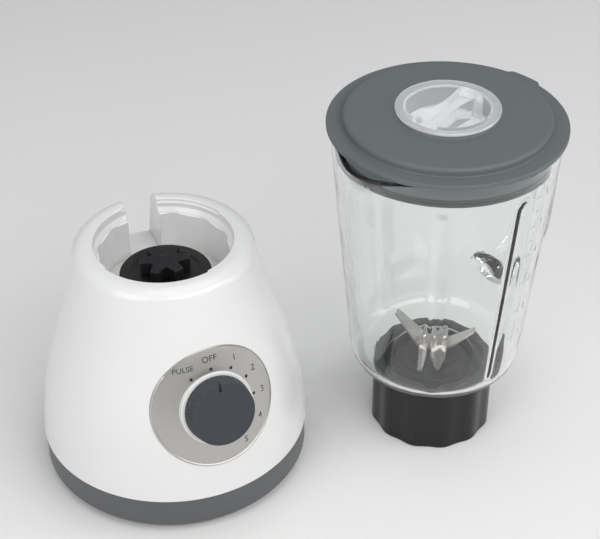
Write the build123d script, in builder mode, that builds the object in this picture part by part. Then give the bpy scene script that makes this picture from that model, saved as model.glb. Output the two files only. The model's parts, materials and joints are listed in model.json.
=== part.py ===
"""Countertop blender: motor base with speed dial, and a glass jug that stands beside it.

Millimetres, +Z up.  The origin is on the motor's axis at table level, with the dial
facing -Y.  The jug stands on its screw collar, to the right of the base.
"""
from build123d import *
from math import cos, pi, radians, sin
import os

# ---------------------------------------------------------------- driving dimensions
# motor base, outside
BASE_R = 87.0              # widest radius, at the bottom edge of the white housing
BASE_H = 166.5             # height of the rim
SHOULDER_R = 57.3          # radius where the side starts to round over to the rim
SHOULDER_DROP = 7.0        # height of that rounding
RIM_W = 4.5                # width of the rim's flat ring
SHELL_T = 2.6              # wall of the housing
SKIN = (                   # side of the housing: share of its height, share of its flare
    (0.00, 1.00), (0.19, 0.91), (0.43, 0.70), (0.59, 0.48), (0.75, 0.26), (0.91, 0.08), (1.00, 0.00),
)

# jug socket in the top of the base
BAND_PLAY = 2.7            # how much wider the round band under the rim is than the collar
WELL_DEPTH = 37.3          # from the rim to the socket's floor
BAND_H = 5.5               # height of the round band
BAND_SLOPE_H = 3.0         # height of the slope below it
NOTCH_DEPTH = 1.2          # how far the two locking recesses widen the band
NOTCH_H = 2.4              # how far they reach down from the rim
NOTCH_START = 16.6         # where the first recess starts, degrees
NOTCH_SPAN = 88.3          # how far each recess runs, degrees
SLOT_W = 20.6              # width of the open slot in the socket's wall
SLOT_TURN = 88.0           # azimuth of the slot, degrees
BOSS_R = 27.4              # raised boss under the splash disc
BOSS_H = 9.8
SHAFT_HOLE_R = 6.0         # clearance hole for the motor shaft

# bottom cover
COVER_H = 27.0             # height of the white housing's bottom edge
COVER_STEP = 0.8           # how far the cover is set in from the housing
COVER_T = 2.6
FLOOR_Z = 4.0              # underside of the cover's floor
FOOT_RING_INSET = 6.5      # how far the ring that carries the base is set in
FOOT_RING_W = 4.0
LIP_H = 5.0                # lip that locates the housing on the cover
FIT_GAP = 0.2              # gap of parts that fit into each other
PAD_R = 7.0
PAD_INSET = 23.0           # how far in from the edge the rubber pads sit
SCREW_INSET = 17.0         # how far in from the edge the cover screws sit
SCREW_R = 1.8
SCREW_HEAD_R = 3.4
SCREW_LEN = 24.0
COLUMN_R = 5.0
VENT_COUNT = 16
OUTLET_R = 5.5             # hole for the cord grommet
OUTLET_Z = 15.0
CORD_R = 3.3

# speed dial
DIAL_Z = 89.3              # height of the dial's centre on the skin
DIAL_TILT = 16.0           # how far the dial looks up, degrees
PLATE_R = 40.0
PLATE_T = 0.9
DIAL_RING_W = 2.0          # width of the white ring that shows around the knob
DIAL_RING_RISE = 1.2
KNOB_R = 20.4
KNOB_SPREAD = 1.2          # how much wider the knob is at its foot
KNOB_H = 9.6
KNOB_GAP = 0.5             # running gap under the knob
NOTCH_W = 1.9              # pointer notch in the knob's face
NOTCH_LEN = 4.6
SWITCH_SHAFT_R = 3.0
SWITCH_BUSH_R = 4.5
SWITCH_W = 30.0
SWITCH_H = 32.0
SWITCH_D = 20.0

# motor
SHAFT_R = 4.0
SHAFT_END = 5.0            # how far the shaft reaches out below the fan
ROTOR_R = 17.5
AIR_GAP = 0.6
STACK_DROP = 27.2          # from the socket's floor down to the lamination stack
STACK_H = 32.0
STATOR_W = 64.0
STATOR_D = 56.0
POLE_OPENING = 26.0
WINDING_R = 15.0
WINDING_H = 8.0
COMMUTATOR_R = 11.0
COMMUTATOR_H = 12.0
BRACKET_T = 4.0
BRACKET_GAP = 11.0         # room between the stack and each bracket, for the windings
BEARING_R = 11.0
BEARING_H = 7.0
RUNNING_GAP = 0.03
STATOR_SCREW_X = 26.0
STATOR_SCREW_Y = 22.0
STATOR_SCREW_R = 2.0
MOUNT_RADIUS = 36.0        # rubber motor mounts, left and right of the shaft
MOUNT_R = 6.0
MOUNT_H = 6.0
FAN_R = 36.0
FAN_DROP = 11.0            # from the lower bracket down to the fan
FAN_H = 12.0
FAN_BLADES = 11
BRUSH_W = 6.0
BRUSH_L = 14.0
BRUSH_GAP = 0.1

# coupling between base and jug
SPLASH_R = 28.9
SPLASH_T = 2.6
COUPLING_R = 15.8
COUPLING_ROOT_R = 8.6
COUPLING_TEETH = 6
COUPLING_H = 9.0
COUPLING_GAP = 0.8
COUPLING_TURN = -16.0

# jug: where it stands, and which way its handle points
JUG_X = 168.8
JUG_Y = -48.7
JUG_TURN = 18.5
COLLAR_R = 40.6            # crest radius of the lobed collar
COLLAR_WAVE = 1.3          # how deep its lobes are
COLLAR_LOBES = 12
COLLAR_H = 48.3
COLLAR_WALL = 5.3          # from the glass neck to the foot of the lobes
JUG_LIFT = 2.2             # gap between the collar and the jug's body
JUG_H = 178.5              # from the underside of the jug's body to the glass rim
JUG_FOOT_R = 56.3          # outer radius low on the wall
JUG_RIM_R = 71.4           # outer radius under the rim
JUG_CORNER = 15.0          # rounding between wall and bottom
GLASS_T = 4.0
NECK_T = 6.8               # wall of the glass neck
NECK_H = 14.5              # how far the neck reaches down from the body
RIB_R = 3.2
RIB_COUNT = 6
RIB_TURN = -5.1            # turn of the ribs and the collar's lobes against the handle
RIB_FOOT = 17.5            # where the ribs start, above the underside of the body
RIB_HEAD = 26.0            # where they end, below the rim
SPOUT_REACH = 9.5          # how far the lip stands out from the rim
SPOUT_H = 26.0
SPOUT_R = 16.0             # rounding of the lip
SPOUT_LOW_R = 8.0          # rounding at the spout's lower end
HANDLE_W = 20.0
HANDLE_T = 13.0
HANDLE_REACH = 43.0
HANDLE_FOOT = 41.5         # lower root, above the underside of the body
HANDLE_HEAD = 33.0         # upper root, below the rim
HANDLE_BEND = 18.0
HANDLE_SLANT = 10.0        # how much nearer the grip's lower end is to the jug

# blade unit
GASKET_H = 2.5
CARRIER_T = 3.0
CARRIER_GAP = 2.0          # between the carrier's dome and the neck
CARRIER_DOME_H = 15.0      # top of the dome, above the neck's lower edge
BUSH_R = 8.5
BUSH_RISE = 6.0            # how far the bush stands above the dome
BLADE_SHAFT_R = 4.0
BLADE_T = 1.5
BLADE_W = 15.0
BLADE_REACH = 27.0
LOWER_REACH = 24.5
BLADE_RISE = 17.0
BLADE_DROP = 6.0
BLADE_LIFT = 3.0           # from the bush to the lower blade
BLADE_TURN = 134.0         # azimuth of the upper blade, degrees
NUT_H = 5.0
DRIVEN_R = 19.5
DRIVEN_H = 12.0
DRIVEN_GAP = 0.9           # play between the two halves of the coupling

# lid and filler cap
LID_OVER = 2.1             # how far the lid's flange reaches over the glass
LID_GAP = 0.4              # between the glass rim and the flange
LID_FLANGE_T = 3.2
LID_STEP = 10.0            # width of the flange around the raised disc
LID_DISC_RISE = 5.0
LID_T = 2.6
LID_TAB_W = 22.0
LID_TAB_REACH = 2.4
SKIRT_H = 15.0             # how far the lid reaches down into the jug
SEAL_H = 5.0
SEAL_GAP = 0.3             # the lid seal is drawn just free of the glass
CAP_FLANGE_R = 32.2
CAP_RISE = 4.6             # how far the cap stands above the disc
CAP_FLANGE_T = 2.2
CAP_R = 27.2
CAP_GAP = 0.4
CAP_POCKET_DEPTH = 14.0
CAP_H = 21.2
CAP_WALL = 1.6
BAR_W = 16.5               # finger bar at its ends
BAR_WAIST = 11.0           # and in its middle
BAR_TURN = 24.0

os.makedirs("parts", exist_ok=True)

# ---------------------------------------------------------------- shared places and outlines
WELL_R = COLLAR_R + BAND_PLAY
RIM_FLAT_R = WELL_R + RIM_W
FOOT_RING_R = BASE_R - FOOT_RING_INSET
PAD_RADIUS = BASE_R - PAD_INSET
SCREW_RADIUS = BASE_R - SCREW_INSET
DIAL_RING_R = KNOB_R + KNOB_SPREAD + DIAL_RING_W
NECK_R = COLLAR_R - COLLAR_WAVE - COLLAR_WALL - FIT_GAP
NECK_BORE_R = NECK_R - NECK_T
CARRIER_R = NECK_R - FIT_GAP
CARRIER_DOME_R = NECK_BORE_R - CARRIER_GAP
JUG_BOTTOM_Z = COLLAR_H + JUG_LIFT
JUG_TOP_Z = JUG_BOTTOM_Z + JUG_H
NECK_BOTTOM_Z = JUG_BOTTOM_Z - NECK_H
RIB_BOTTOM_Z = JUG_BOTTOM_Z + RIB_FOOT
RIB_TOP_Z = JUG_TOP_Z - RIB_HEAD
HANDLE_LOW_Z = JUG_BOTTOM_Z + HANDLE_FOOT
HANDLE_HIGH_Z = JUG_TOP_Z - HANDLE_HEAD
CARRIER_DOME_Z = NECK_BOTTOM_Z + CARRIER_DOME_H
BUSH_TOP_Z = CARRIER_DOME_Z + BUSH_RISE
BLADE_Z = BUSH_TOP_Z + BLADE_LIFT
LID_R = JUG_RIM_R + LID_OVER
LID_DISC_R = LID_R - LID_STEP
LID_Z = JUG_TOP_Z + LID_GAP + LID_FLANGE_T
SKIRT_BOTTOM_Z = JUG_TOP_Z - SKIRT_H
CAP_TOP_Z = LID_Z + LID_DISC_RISE + CAP_RISE
CAP_BOTTOM_Z = CAP_TOP_Z - CAP_H
CAP_POCKET_R = CAP_R - CAP_WALL
SECTION = Plane(origin=(0, 0, 0), x_dir=(1, 0, 0), z_dir=(0, -1, 0))
JUG = Plane(origin=(JUG_X, JUG_Y, 0), x_dir=(1, 0, 0), z_dir=(0, 0, 1)).rotated((0, 0, JUG_TURN))
JUG_SECTION = Plane(origin=(JUG_X, JUG_Y, 0), x_dir=(1, 0, 0), z_dir=(0, -1, 0))
AXIS_OF = {SECTION: Axis.Z, JUG_SECTION: Axis((JUG_X, JUG_Y, 0), (0, 0, 1))}

WELL_FLOOR = BASE_H - WELL_DEPTH
BOSS_TOP = WELL_FLOOR + BOSS_H
SHOULDER_Z = BASE_H - SHOULDER_DROP
STACK_TOP = WELL_FLOOR - STACK_DROP
STACK_Z = STACK_TOP - STACK_H
COUPLING_Z = BOSS_TOP + SPLASH_T + COUPLING_GAP
UPPER_BRACKET_Z = STACK_TOP + BRACKET_GAP
LOWER_BRACKET_Z = STACK_Z - BRACKET_GAP - COMMUTATOR_H - BRACKET_T
FAN_Z = LOWER_BRACKET_Z - FAN_DROP - FAN_H
SHAFT_BOTTOM = FAN_Z - SHAFT_END
POST_BOTTOM = UPPER_BRACKET_Z + BRACKET_T + MOUNT_H
POST_H = WELL_FLOOR - SHELL_T - POST_BOTTOM


def skin_radius(height):
    """Outer radius of the housing at a height, read between the skin's points."""
    share = (height - COVER_H) / (SHOULDER_Z - COVER_H)
    for (low, wide), (high, narrow) in zip(SKIN, SKIN[1:]):
        if share <= high:
            break
    flare = wide + (narrow - wide) * (share - low) / (high - low)
    return SHOULDER_R + (BASE_R - SHOULDER_R) * flare


def skin_points(inset):
    """Points of the housing's side, moved inwards by inset."""
    rise = SHOULDER_Z - COVER_H
    flare = BASE_R - SHOULDER_R
    return [(SHOULDER_R + flare * wide - inset, COVER_H + rise * up) for up, wide in SKIN]


def turn(outline, plane=SECTION, mode=Mode.ADD):
    """Turn a closed outline of (radius, height) points about the upright axis."""
    with BuildSketch(plane) as profile:
        with BuildLine():
            Polyline(*outline, close=True)
        make_face()
    revolve(profile.sketch, axis=AXIS_OF[plane], mode=mode)


def turn_skin(inset, inner_end, mode=Mode.ADD):
    """Turn the housing's side and shoulder, closed over the points of inner_end."""
    side = skin_points(inset)
    top = (RIM_FLAT_R, BASE_H - inset)
    with BuildSketch(SECTION) as profile:
        with BuildLine():
            Spline(*side, tangents=((-0.10, 1), (-0.12, 1)))
            Spline(side[-1], top, tangents=((-0.12, 1), (-1, 0)))
            Polyline(top, *inner_end, side[0])
        make_face()
    revolve(profile.sketch, axis=Axis.Z, mode=mode)


def lobed_outline(crest, wave, lobes):
    """Points of a softly lobed ring, two for each lobe."""
    points = []
    for step in range(2 * lobes):
        radius = crest - wave * (step % 2)
        angle = pi * step / lobes
        points.append((radius * cos(angle), radius * sin(angle)))
    return points


def lobed(plane, crest, wave, height, mode=Mode.ADD):
    """A prism with the collar's lobed outline."""
    with BuildSketch(plane) as profile:
        with BuildLine():
            Spline(*lobed_outline(crest, wave, COLLAR_LOBES), periodic=True)
        make_face()
    extrude(profile.sketch, amount=height, mode=mode)


def star_outline(outer, root, teeth):
    """Corner points of a coupling star with flat-topped teeth."""
    points = []
    for tooth in range(teeth):
        middle = 2 * pi * tooth / teeth
        for angle, radius in ((-0.42, root), (-0.20, outer), (0.20, outer), (0.42, root)):
            turned = middle + angle * 2 * pi / teeth
            points.append((radius * cos(turned), radius * sin(turned)))
    return points


def star(plane, outer, root, height, mode=Mode.ADD):
    """A prism with the coupling's star outline."""
    with BuildSketch(plane) as profile:
        with BuildLine():
            Polyline(*star_outline(outer, root, COUPLING_TEETH), close=True)
        make_face()
    extrude(profile.sketch, amount=height, mode=mode)


# the dial's own plane: origin on the skin, z outwards, y up the dial
DIAL = Plane(
    origin=(0, -skin_radius(DIAL_Z), DIAL_Z),
    x_dir=(1, 0, 0),
    z_dir=(0, -cos(radians(DIAL_TILT)), sin(radians(DIAL_TILT))),
)

# ---------------------------------------------------------------- housing
RING_TOP = DIAL_RING_RISE
RING_DEEP = 16.0
RING_BORE = SWITCH_BUSH_R + FIT_GAP

with BuildPart() as hollow:
    # the air inside the housing
    turn_skin(SHELL_T, (
        (WELL_R + SHELL_T + NOTCH_DEPTH, BASE_H - SHELL_T),
        (WELL_R + SHELL_T + NOTCH_DEPTH, WELL_FLOOR - SHELL_T),
        (BOSS_R - SHELL_T, WELL_FLOOR - SHELL_T),
        (BOSS_R - SHELL_T, BOSS_TOP - SHELL_T),
        (0, BOSS_TOP - SHELL_T),
        (0, COVER_H),
    ))
    # walls of the slot stay solid
    with BuildSketch(Plane.XY.offset(WELL_FLOOR - SHELL_T)) as slot_walls:
        with Locations(Rotation(0, 0, SLOT_TURN)):
            with Locations((WELL_R + BASE_R / 2, 0)):
                Rectangle(BASE_R, SLOT_W + 2 * SHELL_T)
    extrude(slot_walls.sketch, amount=WELL_DEPTH + SHELL_T, mode=Mode.SUBTRACT)
    # columns for the cover screws
    with BuildSketch(Plane.XY.offset(COVER_H + LIP_H)) as columns:
        with PolarLocations(SCREW_RADIUS, 4, start_angle=45):
            Circle(COLUMN_R)
    extrude(columns.sketch, amount=BASE_H - SHOULDER_DROP - COVER_H, mode=Mode.SUBTRACT)
    # posts for the rubber motor mounts
    with BuildSketch(Plane.XY.offset(POST_BOTTOM)) as posts:
        with PolarLocations(MOUNT_RADIUS, 2):
            Circle(MOUNT_R)
    extrude(posts.sketch, amount=WELL_DEPTH, mode=Mode.SUBTRACT)
    # pad behind the dial
    with BuildSketch(DIAL.offset(-RING_DEEP)) as dial_pad:
        Circle(DIAL_RING_R)
    extrude(dial_pad.sketch, amount=RING_DEEP + SHELL_T, mode=Mode.SUBTRACT)
    with BuildSketch(DIAL.offset(-RING_DEEP - 1)) as pad_hollow:
        Circle(DIAL_RING_R - SHELL_T)
    extrude(pad_hollow.sketch, amount=RING_DEEP + 1 - 2 * SHELL_T)

with BuildPart() as base_housing:
    turn_skin(0, (
        (WELL_R, BASE_H),
        (WELL_R, BASE_H - BAND_H),
        (COLLAR_R - COLLAR_WAVE + FIT_GAP, BASE_H - BAND_H - BAND_SLOPE_H),
        (COLLAR_R - COLLAR_WAVE + FIT_GAP, WELL_FLOOR),
        (BOSS_R, WELL_FLOOR),
        (BOSS_R, BOSS_TOP),
        (SHAFT_HOLE_R, BOSS_TOP),
        (SHAFT_HOLE_R, COVER_H),
    ))
    # ring around the knob
    with BuildSketch(DIAL.offset(-SHELL_T)) as ring:
        Circle(DIAL_RING_R)
    extrude(ring.sketch, amount=SHELL_T + RING_TOP)
    add(hollow.part, mode=Mode.SUBTRACT)
    # lobed lower wall of the socket
    lobed(Plane.XY.offset(WELL_FLOOR), COLLAR_R + 3 * FIT_GAP, COLLAR_WAVE, WELL_DEPTH - BAND_H,
          mode=Mode.SUBTRACT)
    # two locking recesses under the rim
    for turned in (NOTCH_START, NOTCH_START + 180):
        with BuildSketch(SECTION.rotated((0, 0, turned))) as recess:
            with Locations((WELL_R, BASE_H - NOTCH_H / 2)):
                Rectangle(2 * NOTCH_DEPTH, NOTCH_H)
        revolve(recess.sketch, axis=Axis.Z, revolution_arc=NOTCH_SPAN, mode=Mode.SUBTRACT)
    # open slot through the wall
    with BuildSketch(Plane.XY.offset(WELL_FLOOR)) as slot:
        with Locations(Rotation(0, 0, SLOT_TURN)):
            with Locations((BOSS_R + BASE_R / 2, 0)):
                Rectangle(BASE_R, SLOT_W)
    extrude(slot.sketch, amount=WELL_DEPTH + 1, mode=Mode.SUBTRACT)
    # bush hole of the switch, pilot holes for the screws
    with BuildSketch(DIAL.offset(-RING_DEEP)) as bush_hole:
        Circle(RING_BORE)
    extrude(bush_hole.sketch, amount=RING_DEEP + 2 * RING_TOP, mode=Mode.SUBTRACT)
    with BuildSketch(Plane.XY.offset(COVER_H + LIP_H)) as pilots:
        with PolarLocations(SCREW_RADIUS, 4, start_angle=45):
            Circle(SCREW_R)
    extrude(pilots.sketch, amount=SCREW_LEN, mode=Mode.SUBTRACT)
    with BuildSketch(Plane.XY.offset(POST_BOTTOM)) as mount_pilots:
        with PolarLocations(MOUNT_RADIUS, 2):
            Circle(SCREW_R)
    extrude(mount_pilots.sketch, amount=POST_H, mode=Mode.SUBTRACT)

# ---------------------------------------------------------------- bottom cover, feet and grommet
COVER_R = BASE_R - COVER_STEP
LIP_R = BASE_R - SHELL_T - FIT_GAP

with BuildPart() as base_cover:
    turn((
        (0, FLOOR_Z), (FOOT_RING_R - FOOT_RING_W, FLOOR_Z), (FOOT_RING_R - FOOT_RING_W, 0), (FOOT_RING_R, 0),
        (FOOT_RING_R, FLOOR_Z), (COVER_R - 2, FLOOR_Z), (COVER_R, FLOOR_Z + 3), (COVER_R, COVER_H),
        (LIP_R, COVER_H), (LIP_R - 0.5, COVER_H + LIP_H), (LIP_R - COVER_T, COVER_H + LIP_H),
        (LIP_R - COVER_T, FLOOR_Z + COVER_T), (0, FLOOR_Z + COVER_T),
    ))
    # columns that take the cover screws, with their heads sunk from below
    with BuildSketch(Plane.XY.offset(FLOOR_Z)) as screw_columns:
        with PolarLocations(SCREW_RADIUS, 4, start_angle=45):
            Circle(COLUMN_R)
    extrude(screw_columns.sketch, amount=COVER_H + LIP_H - FLOOR_Z)
    with BuildSketch(Plane.XY.offset(FLOOR_Z)) as screw_bores:
        with PolarLocations(SCREW_RADIUS, 4, start_angle=45):
            Circle(SCREW_R + FIT_GAP)
    extrude(screw_bores.sketch, amount=COVER_H + LIP_H - FLOOR_Z, mode=Mode.SUBTRACT)
    SCREW_SEAT_Z = COVER_H + LIP_H - SCREW_LEN + 10
    with BuildSketch(Plane.XY.offset(FLOOR_Z)) as head_bores:
        with PolarLocations(SCREW_RADIUS, 4, start_angle=45):
            Circle(SCREW_HEAD_R + FIT_GAP)
    extrude(head_bores.sketch, amount=SCREW_SEAT_Z - FLOOR_Z, mode=Mode.SUBTRACT)
    # air vents under the fan
    with BuildSketch(Plane.XY.offset(FLOOR_Z)) as vents:
        with PolarLocations(FAN_R * 0.72, VENT_COUNT):
            SlotOverall(FAN_R * 0.62, 4.0)
    extrude(vents.sketch, amount=COVER_T, mode=Mode.SUBTRACT)
    # hole for the cord grommet, at the rear
    with BuildSketch(Plane.XZ.offset(-COVER_R - 1)) as outlet:
        with Locations((0, OUTLET_Z)):
            Circle(OUTLET_R)
    extrude(outlet.sketch, amount=COVER_T + 8, mode=Mode.SUBTRACT)

with BuildPart() as foot_pads:
    with BuildSketch() as pad:
        with PolarLocations(PAD_RADIUS, 4):
            Circle(PAD_R)
    extrude(pad.sketch, amount=FLOOR_Z)
    chamfer(foot_pads.faces().sort_by(Axis.Z)[:4].edges(), 0.8)

with BuildPart() as cord_grommet:
    GROMMET_Y = COVER_R + 2
    with BuildSketch(Plane.XZ.offset(-GROMMET_Y)) as flange:
        with Locations((0, OUTLET_Z)):
            Circle(OUTLET_R + 2)
            Circle(CORD_R, mode=Mode.SUBTRACT)
    extrude(flange.sketch, amount=2)
    with BuildSketch(Plane.XZ.offset(-GROMMET_Y + 2)) as barrel:
        with Locations((0, OUTLET_Z)):
            Circle(OUTLET_R)
            Circle(CORD_R, mode=Mode.SUBTRACT)
    extrude(barrel.sketch, amount=COVER_T + 4)
    add(base_cover.part, mode=Mode.SUBTRACT)

with BuildPart() as cover_screws:
    with BuildSketch(Plane.XY.offset(SCREW_SEAT_Z - 2.4)) as heads:
        with PolarLocations(SCREW_RADIUS, 4, start_angle=45):
            Circle(SCREW_HEAD_R)
    extrude(heads.sketch, amount=2.4)
    with BuildSketch(Plane.XY.offset(SCREW_SEAT_Z)) as shanks:
        with PolarLocations(SCREW_RADIUS, 4, start_angle=45):
            Circle(SCREW_R)
    extrude(shanks.sketch, amount=SCREW_LEN)
    with BuildSketch(Plane.XY.offset(SCREW_SEAT_Z - 2.4)) as sockets:
        with PolarLocations(SCREW_RADIUS, 4, start_angle=45):
            Rectangle(4.4, 1.1)
            Rectangle(1.1, 4.4)
    extrude(sockets.sketch, amount=1.2, mode=Mode.SUBTRACT)

# ---------------------------------------------------------------- speed dial
with BuildPart() as dial_plate:
    # a disc bent to the skin
    turn_skin(-PLATE_T, ((0, BASE_H + PLATE_T), (0, COVER_H)))
    add(base_housing.part, mode=Mode.SUBTRACT)
    turn_skin(0, ((0, BASE_H), (0, COVER_H)), mode=Mode.SUBTRACT)
    with BuildSketch(DIAL.offset(-RING_DEEP)) as plate_edge:
        Circle(PLATE_R)
        Circle(DIAL_RING_R, mode=Mode.SUBTRACT)
    extrude(plate_edge.sketch, amount=2 * RING_DEEP, mode=Mode.INTERSECT)

with BuildPart() as speed_knob:
    KNOB_FOOT = DIAL_RING_RISE + KNOB_GAP
    with BuildSketch(DIAL.offset(KNOB_FOOT)) as knob_foot:
        Circle(KNOB_R + KNOB_SPREAD)
    with BuildSketch(DIAL.offset(KNOB_FOOT + KNOB_H)) as knob_face:
        Circle(KNOB_R)
    loft([knob_foot.sketch, knob_face.sketch])
    chamfer(speed_knob.faces().sort_by(Axis((0, 0, 0), DIAL.z_dir))[-1].edges(), 0.5)
    with BuildSketch(DIAL.offset(KNOB_FOOT + KNOB_H)) as pointer:
        with Locations((0, KNOB_R - NOTCH_LEN / 2)):
            Rectangle(NOTCH_W, NOTCH_LEN)
        with Locations((0, KNOB_R - NOTCH_LEN)):
            Circle(NOTCH_W / 2)
    extrude(pointer.sketch, amount=-1.4, mode=Mode.SUBTRACT)
    with BuildSketch(DIAL.offset(KNOB_FOOT)) as knob_hollow:
        Circle(KNOB_R - 3)
        Circle(SWITCH_SHAFT_R + 3, mode=Mode.SUBTRACT)
    extrude(knob_hollow.sketch, amount=KNOB_H - 3, mode=Mode.SUBTRACT)
    with BuildSketch(DIAL.offset(KNOB_FOOT)) as knob_bore:
        Circle(SWITCH_SHAFT_R)
    extrude(knob_bore.sketch, amount=KNOB_H - 3, mode=Mode.SUBTRACT)

SWITCH_FRONT = RING_TOP - 2 * SHELL_T
with BuildPart() as switch_shaft:
    with BuildSketch(DIAL.offset(SWITCH_FRONT - SWITCH_D / 2)) as spindle:
        Circle(SWITCH_SHAFT_R)
    extrude(spindle.sketch, amount=SWITCH_D / 2 - SWITCH_FRONT + KNOB_FOOT + KNOB_H - 3)

with BuildPart() as switch_body:
    with BuildSketch(DIAL.offset(-RING_DEEP - SWITCH_D)) as switch_block:
        RectangleRounded(SWITCH_W, SWITCH_H, 3)
    extrude(switch_block.sketch, amount=SWITCH_D)
    with BuildSketch(DIAL.offset(-RING_DEEP)) as bush:
        Circle(SWITCH_BUSH_R)
    extrude(bush.sketch, amount=RING_DEEP + RING_TOP)
    with BuildSketch(DIAL.offset(-RING_DEEP - SWITCH_D / 2)) as spindle_bore:
        Circle(SWITCH_SHAFT_R + RUNNING_GAP)
    extrude(spindle_bore.sketch, amount=SWITCH_D + RING_DEEP, mode=Mode.SUBTRACT)
    # three flat terminals at the back
    with BuildSketch(DIAL.offset(-RING_DEEP - SWITCH_D - 6)) as terminals:
        with GridLocations(9, 0, 3, 1):
            Rectangle(0.8, 6)
    extrude(terminals.sketch, amount=6)

# ---------------------------------------------------------------- motor, fixed parts
BRACKET_W = 2 * MOUNT_RADIUS + 2 * MOUNT_R
BEARING_WALL = 3.0
BRACKET_SLOT = 6.0
bracket_slot_y = BEARING_R + BEARING_WALL + 2 + BRACKET_SLOT / 2
UPPER_BEARING_Z = UPPER_BRACKET_Z
LOWER_BEARING_Z = LOWER_BRACKET_Z + BRACKET_T - BEARING_H

with BuildPart() as stator_core:
    with BuildSketch(Plane.XY.offset(STACK_Z)) as stator_shape:
        RectangleRounded(STATOR_W, STATOR_D, 8)
        Circle(ROTOR_R + AIR_GAP, mode=Mode.SUBTRACT)
        # room for the field coils beside the two poles
        with GridLocations(2 * ROTOR_R, 0, 2, 1):
            Rectangle(POLE_OPENING / 2, POLE_OPENING, mode=Mode.SUBTRACT)
        with GridLocations(2 * STATOR_SCREW_X, 2 * STATOR_SCREW_Y, 2, 2):
            Circle(STATOR_SCREW_R, mode=Mode.SUBTRACT)
    extrude(stator_shape.sketch, amount=STACK_H)

with BuildPart() as field_coils:
    # one wound ring over each pole, its ends standing out of the stack
    COIL_RISE = BRACKET_GAP - 3
    COIL_CLEAR = 0.5
    coil_y = (ROTOR_R + STATOR_D / 2) / 2 + 1
    slot_edge = ROTOR_R + POLE_OPENING / 4
    with BuildSketch(Plane.XY.offset(STACK_Z - COIL_CLEAR - COIL_RISE / 2)) as coil_sides:
        with GridLocations(2 * slot_edge - 5, POLE_OPENING / 2, 2, 2):
            RectangleRounded(4, 9, 1.8)
    extrude(coil_sides.sketch, amount=STACK_H + 2 * COIL_CLEAR + COIL_RISE)
    for start, rise in ((STACK_Z - COIL_CLEAR, -COIL_RISE), (STACK_TOP + COIL_CLEAR, COIL_RISE)):
        with BuildSketch(Plane.XY.offset(start)) as coil_ends:
            with GridLocations(0, 2 * coil_y, 1, 2):
                RectangleRounded(2 * ROTOR_R, 7, 3)
            with GridLocations(2 * slot_edge - 10, 28, 2, 2):
                RectangleRounded(5, 20, 2)
        extrude(coil_ends.sketch, amount=rise)

with BuildPart() as upper_bracket:
    with BuildSketch(Plane.XY.offset(UPPER_BRACKET_Z)) as upper_plate:
        RectangleRounded(STATOR_W, STATOR_D, 8)
        RectangleRounded(BRACKET_W, 2 * MOUNT_R + 4, MOUNT_R)
        with GridLocations(0, 2 * bracket_slot_y, 1, 2):
            RectangleRounded(STATOR_W / 2, BRACKET_SLOT, 2.5, mode=Mode.SUBTRACT)
    extrude(upper_plate.sketch, amount=BRACKET_T)
    with BuildSketch(Plane.XY.offset(UPPER_BRACKET_Z)) as upper_hub:
        Circle(BEARING_R + BEARING_WALL)
    extrude(upper_hub.sketch, amount=BEARING_H + 1.5)
    with BuildSketch(Plane.XY.offset(UPPER_BRACKET_Z)) as upper_seat:
        Circle(BEARING_R)
    extrude(upper_seat.sketch, amount=BEARING_H, mode=Mode.SUBTRACT)
    with BuildSketch(Plane.XY.offset(UPPER_BRACKET_Z)) as upper_holes:
        Circle(SHAFT_HOLE_R)
        with GridLocations(2 * STATOR_SCREW_X, 2 * STATOR_SCREW_Y, 2, 2):
            Circle(STATOR_SCREW_R)
        with PolarLocations(MOUNT_RADIUS, 2):
            Circle(SCREW_R)
    extrude(upper_holes.sketch, amount=BEARING_H + 2, mode=Mode.SUBTRACT)
    # pillars that stand on the stack around the screws
    with BuildSketch(Plane.XY.offset(STACK_TOP)) as upper_pillars:
        with GridLocations(2 * STATOR_SCREW_X, 2 * STATOR_SCREW_Y, 2, 2):
            Circle(STATOR_SCREW_R + 2)
            Circle(STATOR_SCREW_R, mode=Mode.SUBTRACT)
    extrude(upper_pillars.sketch, amount=BRACKET_GAP)

with BuildPart() as lower_bracket:
    with BuildSketch(Plane.XY.offset(LOWER_BRACKET_Z)) as lower_plate:
        RectangleRounded(STATOR_W, STATOR_D, 8)
        with GridLocations(0, 2 * bracket_slot_y, 1, 2):
            RectangleRounded(STATOR_W / 2, BRACKET_SLOT, 2.5, mode=Mode.SUBTRACT)
    extrude(lower_plate.sketch, amount=BRACKET_T)
    with BuildSketch(Plane.XY.offset(LOWER_BEARING_Z - 1.5)) as lower_hub:
        Circle(BEARING_R + BEARING_WALL)
    extrude(lower_hub.sketch, amount=BEARING_H + 1.5)
    with BuildSketch(Plane.XY.offset(LOWER_BEARING_Z)) as lower_seat:
        Circle(BEARING_R)
    extrude(lower_seat.sketch, amount=BEARING_H, mode=Mode.SUBTRACT)
    with BuildSketch(Plane.XY.offset(LOWER_BEARING_Z - 2)) as lower_holes:
        Circle(SHAFT_HOLE_R)
        with GridLocations(2 * STATOR_SCREW_X, 2 * STATOR_SCREW_Y, 2, 2):
            Circle(STATOR_SCREW_R)
    extrude(lower_holes.sketch, amount=BEARING_H + BRACKET_T, mode=Mode.SUBTRACT)
    with BuildSketch(Plane.XY.offset(STACK_Z)) as lower_pillars:
        with GridLocations(2 * STATOR_SCREW_X, 2 * STATOR_SCREW_Y, 2, 2):
            Circle(STATOR_SCREW_R + 2)
            Circle(STATOR_SCREW_R, mode=Mode.SUBTRACT)
    extrude(lower_pillars.sketch, amount=-(BRACKET_GAP + COMMUTATOR_H))

with BuildPart() as upper_bearing:
    with BuildSketch(Plane.XY.offset(UPPER_BEARING_Z)) as upper_race:
        Circle(BEARING_R)
        Circle(SHAFT_R + RUNNING_GAP, mode=Mode.SUBTRACT)
    extrude(upper_race.sketch, amount=BEARING_H)

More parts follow.
